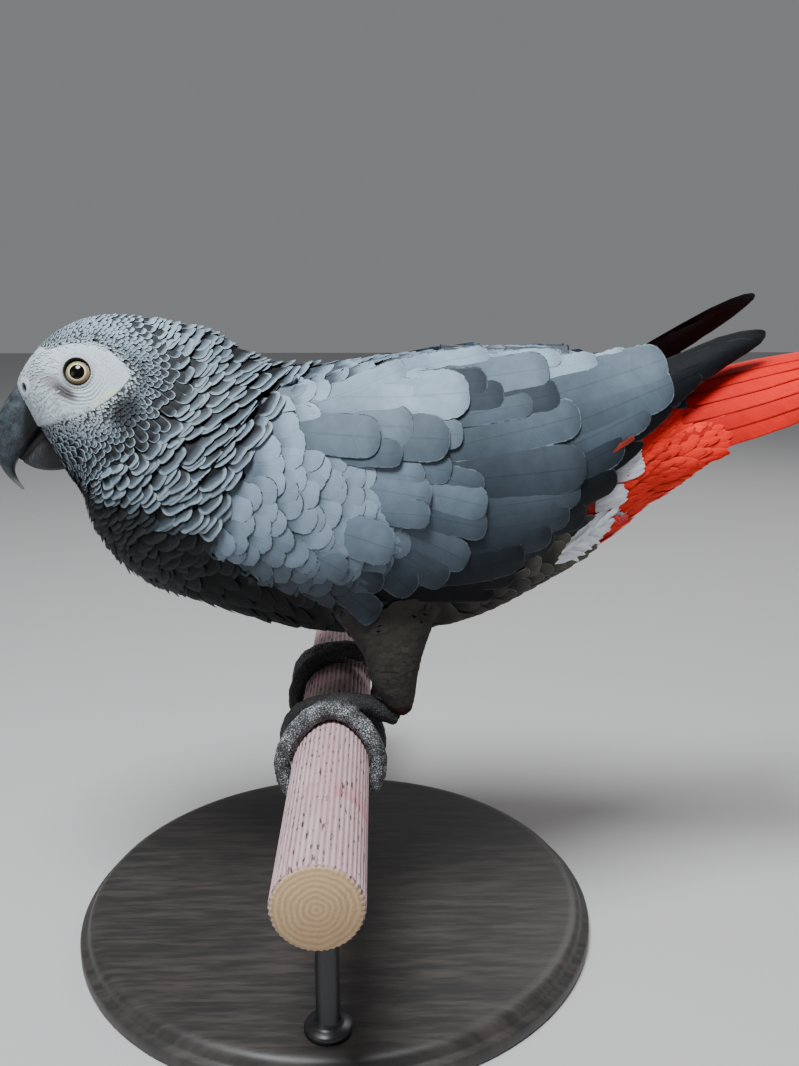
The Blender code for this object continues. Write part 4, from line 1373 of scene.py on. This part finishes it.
# %% The white bases that show between them
# Each patch: x, z, how steeply it rises, the length of its barbs, how wide it spreads.
WHITE_BASES = ((110.5, 98.5, 0.42, 12.5, 8.0), (103.5, 85.5, 0.36, 13.5, 5.5))
for side in (-1, 1):
    for x, z, rise, length, width in WHITE_BASES:
        for number in range(13):
            across = (number * GOLDEN % 1 - 0.5) * width
            start = Vector((x, side * BESIDE, z + across))
            root, normal, _, _ = form_tree.ray_cast(start, Vector((0, -side, 0)), BESIDE)
            under.lay(
                drape(form_tree, root, Vector((1, 0, rise + 0.03 * across)), normal),
                length * (0.8 + 0.25 * chance.random()), 3.4, "lance", (0.70, 0.70, 0.77), 0.0,
                (0.3, 0.9 + 0.4 * chance.random()),
                (0.03 + 0.012 * number, 0.012 + 0.01 * (side + 1)), 0.08,
            )
under.piece("undertail_feathers", soft_look, "plumage_red")

# %% The loose white feather at the flank, with its red tuft
white_look = feather_look(
    "white_fluff", (0.80, 0.83, 0.86), 0.3, (3.0, 9.0, 0.05), gloss=0.8, shaft=0.10, barb=0.5, ragged=0.9,
    contrast=0.35
)
# Each vane: the points of its line as x, z, distance from the middle plane; its width, its shape.
WHITE_VANES = (
    (((88, 62.5, 21.5), (94, 67, 23.5), (101, 73, 24.5), (108, 78.5, 23.5), (113, 81.5, 21)), 10.0, "fluff"),
    (((87, 61, 20.5), (93, 64, 22.5), (100, 69.5, 23.5), (108, 75, 22.5)), 7.5, "lance"),
    (((92, 67.5, 20.5), (98, 73.5, 22.5), (104, 79, 22.5), (109, 82, 21)), 7.5, "fluff"),
)
LOOSE_BARBS, RED_BARBS = 30, 7
for side, name in SIDES:
    loose = Coat(strict=False)
    lines = [[Vector((x, side * y, z)) for x, z, y in points] for points, _, _ in WHITE_VANES]
    away = Vector((0.1, side, -0.25)).normalized()
    for number, (line, (_, width, shape)) in enumerate(zip(lines, WHITE_VANES)):
        length = sum((q - p).length for p, q in zip(line, line[1:]))
        loose.lay(
            free_path(line, away), length, width, shape, (0.78, 0.82, 0.87), 0.4, (0, 0.4 * number),
            (0.2 + 0.3 * number, 0.5), 0.12, size=0.1,
        )
    spine = lines[0]
    for number in range(LOOSE_BARBS):  # these fray its edges
        share = 3.85 * (number * GOLDEN % 1) + 0.1
        here = spine[int(share)].lerp(spine[int(share) + 1], share % 1)
        ahead = (spine[int(share) + 1] - spine[int(share)]).normalized()
        lean = radians(-38 if number % 3 else 30) + radians(8) * chance.standard_normal()
        ahead = ahead * cos(lean) + (Vector((0, 0, 1)) - away * away.z) * sin(lean)
        loose.lay(
            free_path([here, here + ahead * 4, here + ahead * 8 - away * 0.6], away),
            6.2 + 2.0 * chance.random(), 1.9, "lance", (0.74, 0.79, 0.84), 0.0,
            (0.5, 1.1 + 0.3 * chance.random()), (0.1 + 0.026 * number, 0.9), 0.12, size=0.05,
        )
    for number in range(RED_BARBS):
        turn = radians(10 + 16 * number)
        start = Vector((110.5 + 0.5 * number, side * (22 - 0.3 * number), 80.5 - 0.7 * number))
        end = start + Vector((5.2 * cos(turn - 0.9), side * 0.8, 5.2 * sin(turn - 0.9)))
        line = [start, (start + end) / 2 + Vector((0, side, 0.4)), end]
        loose.lay(
            free_path(line, Vector((0.1, side, -0.2)).normalized()), 5.8, 2.2, "lance",
            (0.46, 0.008, 0.014), 0.1, (0, 0.2), (0.1 + 0.1 * number, 0.1), 0.1, size=0.05,
        )
    loose.piece(f"flank_feather_{name}", white_look, "plumage_pale")

# %% [markdown]
# ## Thighs
#
# Short, dull feathers run down each thigh like trousers and end at the heel. They follow the
# thigh's own stations, because the body's ribs don't run down the leg. At the top they are
# long and wide, so that they close with the feathers of the belly, and they grow shorter on
# the way down.

# %% Feathers of the thighs
THIGH_COLUMNS = 28
THIGH_REACH = 7.5  # a station's point further off the form than this is inside the belly
legs = Coat()
for side in (-1, 1):
    for column in range(THIGH_COLUMNS):
        angle = 2 * pi * (column + 0.5) / THIGH_COLUMNS
        s = 0.05 + 0.12 * (column % 2)
        while s < 5.8:
            here = thigh_point(s, angle, side)
            ahead = thigh_point(s + 0.1, angle, side) - here
            s += 2.9 / max(4, ahead.length / 0.1) * (1 + 0.15 * chance.standard_normal())
            place, normal, _, _ = form_tree.find_nearest(here)
            if (place - here).length > THIGH_REACH:
                continue
            top = 1 - blend(0.8, 2.8, s)
            # the thighs' colour, darkened as painted shade, and darker still near the heel
            shade = mixed(THIGH_IN_SHADE, (0.020, 0.006, 0.004), 1 - blend(5, 11, place.z))
            shade = mixed(shade, BLACK, 0.35 * chance.random())
            legs.lay(
                drape(form_tree, place, ahead, normal, 4), 11.0 - 7.5 * blend(3.0, 5.4, s), 4.2 + 4.0 * top,
                "fluff", shade, 0.0, (-0.6, 0.02),
                (0.05 + 0.9 * column / THIGH_COLUMNS, 0.25 + side * 0.22 + 0.06 * s), 0.03,
                curl=0.1 * chance.random(),
            )
legs_look = feather_look(
    "thigh_feathers", (0.30, 0.28, 0.25), 0.4, (4.0, 11.0, 0.2), shaft=0.0, gloss=0.85, ragged=0.9,
    contrast=0.5
)
legs.piece("coat_thighs", legs_look, "plumage_pale")

# %% [markdown]
# ## Eyes
#
# The eye is a ball with a low clear bulge in front, set deep in the head so that only a
# round opening of the lids shows it. Its rings of colour could be rings of faces, but the
# fine rays cross them. So the colours follow the distance from the eye's axis, which is
# stored on the mesh, and the pattern can't slide.


# %% The eyeballs
EYE_RADIUS = 6.6
BULGE_RADIUS, BULGE = 4.3, 0.06  # how wide the clear bulge is, and its height as a share
RING_UNIT = 10  # the distance from the axis is stored in centimetres
OPENING = 14  # the place in the lids' opening is stored as a share of this, from its middle


def eyeball(side):
    """A ball that looks out of the head at the eye's place, with its rings stored on it."""
    start = turned(EYE.x, side * BESIDE, EYE.z)
    place, out, _, _ = form_tree.ray_cast(start, (turned(EYE.x, 0, EYE.z) - start).normalized())
    bm = bmesh.new()
    bmesh.ops.create_uvsphere(bm, u_segments=64, v_segments=48, radius=EYE_RADIUS)
    ring = bm.verts.layers.float_color.new("ring")
    for vert in bm.verts:
        away = hypot(vert.co.x, vert.co.y)
        vert[ring] = (away / RING_UNIT if vert.co.z > 0 else 1.0, 0, 0, 1)
        if vert.co.z > 0 and away < BULGE_RADIUS:
            vert.co *= 1 + BULGE * (1 - (away / BULGE_RADIUS) ** 2)
    turn = out.to_track_quat("Z", "Y").to_matrix().to_4x4()
    move = Matrix.Translation(place - out * (EYE_RADIUS - 0.15))
    bmesh.ops.transform(bm, matrix=move @ turn, verts=bm.verts)
    for vert in bm.verts:
        head = turned(*vert.co, back=True)
        across, up = (head.x - EYE.x) / OPENING, (head.z - EYE.z) / OPENING
        vert[ring] = (vert[ring][0], 0.5 + across, 0.5 + up, 1)
    bmesh.ops.recalc_face_normals(bm, faces=bm.faces)
    return bm


print("the eyes are", 2 * EYE_RADIUS, "mm across")

# %% Rings and rays of the iris
look = Look("eye")
ring = look.stored("ring")
away, front, _ = look.axes(ring)
rays = look.noise(10, 4, look.node("VectorMath", {"operation": "MULTIPLY"}, {0: ring, 1: (1.5, 6, 6)}))
away = away + (rays - 0.5) * 0.010
iris = look.node(
    "ValToRGB",
    {
        "stops": (
            (0.0, (0.001, 0.001, 0.001)), (0.262, (0.001, 0.001, 0.001)), (0.274, (0.74, 0.68, 0.44)),
            (0.322, (0.66, 0.58, 0.35)), (0.342, (0.16, 0.13, 0.06)), (0.372, (0.30, 0.26, 0.13)),
            (0.425, (0.34, 0.29, 0.16)), (0.442, (0.004, 0.004, 0.003)),
        )
    },
    {0: away},
)
outer = away.step(0.335, 0.355) * (1 - away.step(0.42, 0.44))
colour = look.mix(outer * front.step(0.45, 0.75) * 0.6, iris, (0.50, 0.27, 0.15))
colour = look.mix(outer * rays.step(0.35, 0.7) * 0.3, colour, (0.16, 0.12, 0.05))
eye_look = look.finish(
    Base_Color=colour, Roughness=0.10, Coat_Weight=0.4, Coat_Roughness=0.02, Coat_IOR=1.35,
    Specular_IOR_Level=0.25
)
for side, name in SIDES:
    piece(f"eyeball_{name}", eyeball(side), eye_look, [f"eye_{name}"])

# %% [markdown]
# ## The beak
#
# A parrot's beak is a curved cone of horn: a high ridge above, sides that bulge and then
# draw in to a sharp cutting edge, and a long thin hook. It could be sculpted from a cone,
# but a loft through ribs across its curve keeps the ridge and the edges where they belong.
# Fine growth lines, powder near the skin, a worn, paler tip and painted shade on the rear of the flanks are
# in the finish.

# %% Ribs of the beak: ridge x, z, cutting edge x, z, half width
UPPER_BEAK = (
    (-121.0, 131.2, -109.2, 118.8, 8.2),
    (-122.2, 129.6, -110.2, 116.6, 8.6),
    (-126.6, 123.6, -112.8, 113.4, 8.2),
    (-129.8, 116.8, -116.0, 109.6, 7.4),
    (-131.2, 109.8, -119.4, 105.6, 6.2),
    (-130.4, 103.0, -122.8, 101.9, 4.4),
    (-128.2, 97.6, -124.2, 98.0, 2.7),
    (-125.4, 93.6, -123.3, 94.2, 1.4),
    (-122.0, 90.2, -121.3, 90.7, 0.45),
)
LOWER_BEAK = (
    (-105.5, 116.8, -102.5, 98.6, 7.4),
    (-109.0, 115.4, -106.0, 97.8, 7.5),
    (-111.6, 112.6, -109.4, 97.5, 7.2),
    (-114.6, 109.2, -113.0, 97.8, 6.5),
    (-117.9, 105.4, -116.8, 98.8, 5.1),
    (-120.7, 102.4, -119.8, 100.6, 2.9),
)
MOUTH = (
    (-107.0, 121.0, -104.0, 110.0, 5.6),
    (-112.5, 116.0, -109.5, 108.6, 5.6),
    (-116.6, 111.8, -113.4, 106.0, 4.8),
    (-120.2, 107.4, -117.2, 103.2, 3.6),
    (-122.6, 103.2, -119.8, 101.4, 2.0),
)


def beak_ring(table, s, roundness, widest, sides=40):
    """The outline of the beak across its curve, with a shallow groove over the cutting edge."""
    top_x, top_z, low_x, low_z, half_width = smooth_rows(table, s)
    ring = []
    for k in range(sides):
        down, out = egg(2 * pi * (k + 0.5) / sides, widest, roundness)
        groove = 1 - 0.05 * (1 - blend(0, 0.08, abs(down - 0.80))) * (1 - blend(4, 7, s))
        x, z = top_x + (low_x - top_x) * down, top_z + (low_z - top_z) * down
        ring.append(turned(x, out * half_width * groove, z))
    return ring


def beak_loft(table, rings, roundness, widest, sides=40):
    """A closed loft through a table of ribs."""
    stations = np.linspace(0, len(table) - 1, rings)
    return lofted([beak_ring(table, s, roundness, widest, sides) for s in stations])


print("the hook is", 2 * UPPER_BEAK[-1][-1], "mm thick at its tip")

# %% The upper half, with a flank darkened as painted shade and a pale worn tip
look = Look("beak_horn")
x, _, z = look.axes(look.spot())
powder = look.noise(330, 6) * 0.6 + look.noise(1500, 3) * 0.4
fine = look.noise(60, 5, look.stretched((30, 30, 4)))
# painted shade: behind this line the lower rear of the flank, near the gape, is nearly black
shaded_flank_x = turned(-119.2, -7, 110).x * MM
blue = look.mix(powder.step(0.36, 0.72), (0.014, 0.018, 0.022), (0.066, 0.086, 0.103))
dark = look.mix(powder.step(0.5, 0.75) * 0.5, (0.003, 0.0033, 0.0036), (0.020, 0.023, 0.026))
edge = x + (powder - 0.5) * 0.004 - (z - PERCH_TOP - 0.110) * 0.12
colour = look.mix(edge.step(shaded_flank_x - 0.0012, shaded_flank_x + 0.0010), blue, dark)
colour = look.mix((1 - (z - PERCH_TOP).step(0.0925, 0.0975)) * 0.75, colour, (0.26, 0.27, 0.25))
beak_look = look.finish(
    Base_Color=colour,
    Roughness=0.34 + powder * 0.28,
    Normal=look.bump(fine * 0.6 + powder * 0.4, 0.00022, 0.7),
    Specular_IOR_Level=0.4,
)
piece("beak_upper", beak_loft(UPPER_BEAK, 40, 0.75, 0.62), beak_look, ["upper_beak"])

# %% The lower half and the lining of the mouth, both darkened in part as painted shade
look = Look("jaw_horn")
x, _, z = look.axes(look.spot())
scratch = look.noise(90, 5, look.stretched((30, 6, 5), (0, 0.85, 0)))
powder = look.noise(700, 5)
# painted shade: the rear of the lower half, back from the hook, is nearly black
front = 1 - (x * -1).step(0.1065, 0.1125)
upper_edge = ((z - PERCH_TOP) * 0.66 - x * 0.75).step(0.1560, 0.1600)
scratched = scratch.step(0.45, 0.72) * (0.35 + upper_edge * 0.6)
colour = look.mix(scratched, (0.011, 0.013, 0.015), (0.12, 0.14, 0.16))
colour = look.mix(front, colour, (0.004, 0.004, 0.005))
jaw_look = look.finish(
    Base_Color=colour,
    Roughness=0.4 + powder * 0.25,
    Normal=look.bump(scratch * 0.7 + powder * 0.3, 0.0002, 0.7),
)
piece("beak_lower", beak_loft(LOWER_BEAK, 24, 0.7, 0.45), jaw_look, ["lower_beak"])
# the lining's own dark colour, deepened to near black as painted shade in the gape
look = Look("shaded_mouth_lining")
damp = look.noise(500, 4)
shaded_lining = look.finish(
    Base_Color=look.mix(damp, (0.003, 0.003, 0.003), (0.012, 0.010, 0.010)), Roughness=0.45 + damp * 0.3
)
piece("shaded_mouth_lining", beak_loft(MOUTH, 12, 0.8, 0.5, 24), shaded_lining)

# %% [markdown]
# ## Feet and claws
#
# The toes are covered with small round scales like pebbles. A bump in the finish would do
# from far off. Here they are real relief, so that they hold up close by: the foot is
# remeshed finely, and each point moves out by a cell pattern. The claws are smooth curved
# horn, so their solids only need rounder faces.


# %% Pebbled feet
FOOT_VOXEL, FOOT_ROUNDS = 0.62, 2
PEBBLE, PEBBLE_HEIGHT, PEBBLE_SEAM = 1.7, 0.30, 0.20  # size, height, and how deep their seams lie
FOOT_SIDE = 34  # how far each foot is from the middle plane


def foot(name):
    """A foot with pebbles in relief, and what each point stores for its finish."""
    bm = remeshed(copy_of(f"foot_{name}"), FOOT_VOXEL, FOOT_ROUNDS)
    bm.normal_update()
    scale = bm.verts.layers.float_color.new("scale")
    for vert in bm.verts:
        (first, second, *_), _ = noise.voronoi(vert.co / PEBBLE)
        pebble = min(1, (second - first) * 2.6)
        lit = 0.5 + 0.5 * noise.noise(vert.co * 0.22)
        # painted light and shade: this marks each foot's outer side for the pale grain, and the inner side
        # stays dark
        near = blend(-4.0, 6.0, abs(vert.co.y) - FOOT_SIDE)
        vert[scale] = (pebble, lit, near, 1)
        vert.co += vert.normal * (PEBBLE_HEIGHT * pebble - PEBBLE_SEAM)
    return bm


print("pebbles of", PEBBLE, "mm")

# %% The finish of the feet
GRAIN = 1150  # cells of the pale grain for each metre
look = Look("foot_scales")
_, lit, near = look.axes(look.stored("scale"))
dust = look.noise(900, 4)
seam = look.cells(GRAIN, "DISTANCE_TO_EDGE")
each, _, _ = look.axes(look.cells(GRAIN, "F1", 1))
grain = seam.step(0.03, 0.22) * (0.35 + each * 0.65)
pale = grain * (lit.step(0.3, 0.7) * 0.7 + 0.3)
colour = look.mix(grain, (0.006, 0.006, 0.006), (0.045, 0.043, 0.042))
# painted light and shade: the pale grain shows only on each foot's outer side
colour = look.mix(pale * near.step(0.2, 0.9) * 0.95, colour, (0.44, 0.46, 0.48))
foot_look = look.finish(
    Base_Color=colour,
    Roughness=0.5 + dust * 0.2,
    Normal=look.bump(seam.step(0.0, 0.3) + dust * 0.3, 0.00025, 0.8),
    Specular_IOR_Level=0.35,
)

# %% Claws, and both feet put in place
TOES = ("outer_front", "inner_front", "outer_rear", "inner_rear")
look = Look("claw_horn")
grain = look.noise(240, 4)
colour = look.mix(grain.step(0.4, 0.75) * 0.5, (0.008, 0.008, 0.009), (0.07, 0.066, 0.062))
claw_look = look.finish(
    Base_Color=colour, Roughness=0.28 + grain * 0.15, Normal=look.bump(grain, 0.0001, 0.5)
)
for _, name in SIDES:
    piece(f"pebbled_foot_{name}", foot(name), foot_look, [f"foot_{name}"])
    talons = [f"claw_{name}_{toe}" for toe in TOES]
    claws = copy_of(*talons)
    bmesh.ops.subdivide_edges(claws, edges=claws.edges, cuts=2, smooth=1.0, use_grid_fill=True)
    piece(f"claws_{name}", claws, claw_look, talons)

# %% [markdown]
# ## Perch and stand
#
# The perch is a turned pole with fine ribs along it, painted pink and worn. Its ends are
# cut square and show the rings of the wood. The ribs are deep enough to see, so they are in
# the outline that is lofted along the pole, while the wear of the paint is in its finish.
# The stand is a plain turned base with two rods, each in a small collar. A turned shape is
# half its outline spun round an axis, as on a lathe.

# %% The ribbed perch
PERCH_RADIUS = 15.0
PERCH_HALF = 140.0
PERCH_RIBS, RIB_POINTS, RIB_DEPTH = 46, 8, 0.16


def pole_ring(y, inset):
    """The ribbed outline of the pole at a place along it, drawn in by inset."""
    ring = []
    for k in range(PERCH_RIBS * RIB_POINTS):
        angle = 2 * pi * k / (PERCH_RIBS * RIB_POINTS)
        radius = PERCH_RADIUS - inset - RIB_DEPTH * (1 - cos(angle * PERCH_RIBS))
        ring.append(Vector((radius * cos(angle), y, radius * sin(angle) - PERCH_RADIUS)))
    return ring


# Each station: where it is along the pole, and how far its worn edge is drawn in.
stations = [(-PERCH_HALF, 1.3), (-PERCH_HALF + 0.4, 0.5), (-PERCH_HALF + 1.3, 0)]
stations += [(y, 0) for y in np.linspace(-PERCH_HALF + 12, PERCH_HALF - 12, 24)]
stations += [(-y, inset) for y, inset in stations[2::-1]]
pole = lofted([pole_ring(y, inset) for y, inset in stations])
print("the pole has", len(stations), "rings of", PERCH_RIBS * RIB_POINTS, "points")

# %% Worn pink paint, and rings of wood at the ends
look = Look("painted_pole")
x, y, z = look.axes(look.spot())
centre = z - (PERCH_TOP - PERCH_RADIUS * MM)
radius = (x * x + centre * centre) ** 0.5
groove = 1 - radius.step((PERCH_RADIUS - 0.3) * MM, (PERCH_RADIUS - 0.08) * MM)
long_way = look.stretched((1, 0.22, 1))
speck = look.noise(900, 5, long_way)
patch = look.noise(34, 5, look.stretched((1, 0.45, 1)))
faded = look.noise(150, 5, long_way).step(0.45, 0.7) * 0.5
paint = look.mix(faded, (0.50, 0.335, 0.345), (0.62, 0.50, 0.50))
blotch = patch.step(0.56, 0.60) * (1 - y.step(-0.115, -0.075))
paint = look.mix(blotch * 0.9, paint, (0.50, 0.035, 0.10))
colour = look.mix(groove * (0.35 + speck * 0.3), paint, (0.20, 0.10, 0.11))
colour = look.mix(speck.step(0.55, 0.62) * groove * 0.9, colour, (0.012, 0.010, 0.010))
chips = look.noise(420, 4, long_way).step(0.64, 0.68)
colour = look.mix(chips * 0.8, colour, (0.02, 0.016, 0.016))
end = abs(y).step(PERCH_HALF * MM - 0.0006, PERCH_HALF * MM - 0.0002)
rings = ((radius * 3300 + look.noise(70, 4) * 15).wave() * 0.5 + 0.5) * (0.25 + look.noise(200, 3) * 0.6)
colour = look.mix(end, colour, look.mix(rings, (0.50, 0.34, 0.19), (0.30, 0.18, 0.09)))
pole_look = look.finish(
    Base_Color=colour, Roughness=0.5 + speck * 0.25, Normal=look.bump(speck, 0.00025, 0.7),
    Specular_IOR_Level=0.4
)
piece("ribbed_perch", pole, pole_look, ["perch"])


# %% Turned pieces
def lathe(outline, y, steps):
    """A closed turned piece: an outline of radius and height, spun round an upright axis."""
    bm = bmesh.new()
    verts = [bm.verts.new((r, 0, h)) for r, h in outline]
    edges = [bm.edges.new(pair) for pair in zip(verts, verts[1:])]
    bmesh.ops.spin(
        bm, geom=verts + edges, cent=(0, 0, 0), axis=(0, 0, 1), angle=2 * pi, steps=steps, use_merge=True
    )
    bmesh.ops.remove_doubles(bm, verts=bm.verts, dist=0.0005)
    bmesh.ops.recalc_face_normals(bm, faces=bm.faces)
    bmesh.ops.translate(bm, vec=(0, y, -PERCH_TOP / MM), verts=bm.verts)
    return bm


# Outlines from the middle of the underside to the middle of the top: radius, height.
BASE_OUTLINE = (
    (0, 0), (110.6, 0), (111.6, 0.4), (112, 1.2), (112, 5.2), (111.4, 6.2), (109.4, 6.9), (108.7, 7.8),
    (108.4, 9.2), (107.2, 10.9), (105.0, 11.8), (102.5, 12), (0, 12),
)
ROD_OUTLINE = (
    (0, 12.05), (8.6, 12.05), (9, 12.5), (9, 14.0), (8.4, 14.9), (6.2, 15.3), (5.2, 16.0), (4.5, 17.4),
    (4.5, 74.0), (5.2, 75.0), (5.6, 76.0), (5.6, 77.2), (5.1, 77.7), (0, 77.8),
)
ROD_PLACES = (("near", -92), ("far", 92))
print("the base is", 2 * max(r for r, _ in BASE_OUTLINE), "mm across")

# %% The base of dark wood and the two steel rods
look = Look("stand_finish")
grain = look.noise(46, 6, look.stretched((1, 9, 1)))
fine = look.noise(1300, 3)
base_look = look.finish(
    Base_Color=look.mix(grain.step(0.35, 0.7), (0.020, 0.018, 0.017), (0.045, 0.038, 0.034)),
    Roughness=0.36 + grain * 0.2,
    Normal=look.bump(grain * 0.7 + fine * 0.3, 0.0002, 0.5),
)
look = Look("rod_finish")
fine = look.noise(1800, 3)
rod_look = look.finish(
    Base_Color=look.mix(fine * 0.4, (0.05, 0.05, 0.052), (0.09, 0.09, 0.092)),
    Roughness=0.3 + fine * 0.15,
    Metallic=0.9,
    Normal=look.bump(fine, 0.00005, 0.4),
)
piece("stand_turned_base", lathe(BASE_OUTLINE, 0, 128), base_look, ["stand_base"])
for name, y in ROD_PLACES:
    rod = lathe(ROD_OUTLINE, y, 40)
    piece(f"stand_turned_rod_{name}", rod, rod_look, [f"stand_rod_{name}"])

# %% [markdown]
# ## Floor, light and camera
#
# A wide, pale, flat floor, one large soft light from above and in front, and weak fill from
# the sides. The light from above leaves the breast and the underside dark, as on a bird
# under an open sky, and their colours are darkened as well, as painted shade. The floor and
# the lights aren't part of the bird, so they are kept apart from its pieces as a stage.

# %% Floor and room
floor = bmesh.new()
bmesh.ops.create_grid(floor, x_segments=1, y_segments=1, size=4)
mesh = bpy.data.meshes.new("floor")
floor.to_mesh(mesh)
floor.free()
floor_object = bpy.data.objects.new("floor", mesh)
bpy.context.scene.collection.objects.link(floor_object)
mesh.materials.append(Look("floor_paint").finish(Base_Color=(0.46, 0.445, 0.44), Roughness=0.85))

world = bpy.data.worlds.new("soft_room")
world.use_nodes = True
background = world.node_tree.nodes["Background"]
background.inputs["Color"].default_value = (0.93, 0.96, 1.0, 1)
background.inputs["Strength"].default_value = 0.22
bpy.context.scene.world = world
print("a floor of 8 m by 8 m")


# %% Lights
AIM = Vector((0, 0, 0.2))  # the middle of the bird


def soft_light(name, place, size, power, colour=(1, 1, 1)):
    """A round area light at a place, turned to the bird."""
    lamp = bpy.data.lights.new(name, "AREA")
    lamp.shape, lamp.size, lamp.energy, lamp.color = "DISK", size, power, colour
    holder = bpy.data.objects.new(name, lamp)
    bpy.context.scene.collection.objects.link(holder)
    holder.location = place
    holder.rotation_euler = (AIM - Vector(place)).to_track_quat("-Z", "Y").to_euler()
    print(f"{name}: {power} W, {size} m across")


soft_light("sky", (-0.15, -0.45, 1.25), 0.5, 31, (0.92, 0.97, 1.0))
soft_light("front_fill", (-0.9, -0.9, 0.5), 0.6, 1.2)
soft_light("back_rim", (0.7, 0.9, 0.9), 0.6, 4)

# %% Camera
lens = bpy.data.cameras.new("camera")
lens.sensor_fit, lens.sensor_height, lens.lens = "VERTICAL", 36, 34.8
camera = bpy.data.objects.new("camera", lens)
bpy.context.scene.collection.objects.link(camera)
camera.location = (0.0191, -0.416, 0.276)
camera.rotation_euler = (radians(76.5), 0, radians(-1.2))
bpy.context.scene.camera = camera
print("camera", round((camera.location - Vector((0, 0, PERCH_TOP))).length, 3), "m from the perch")
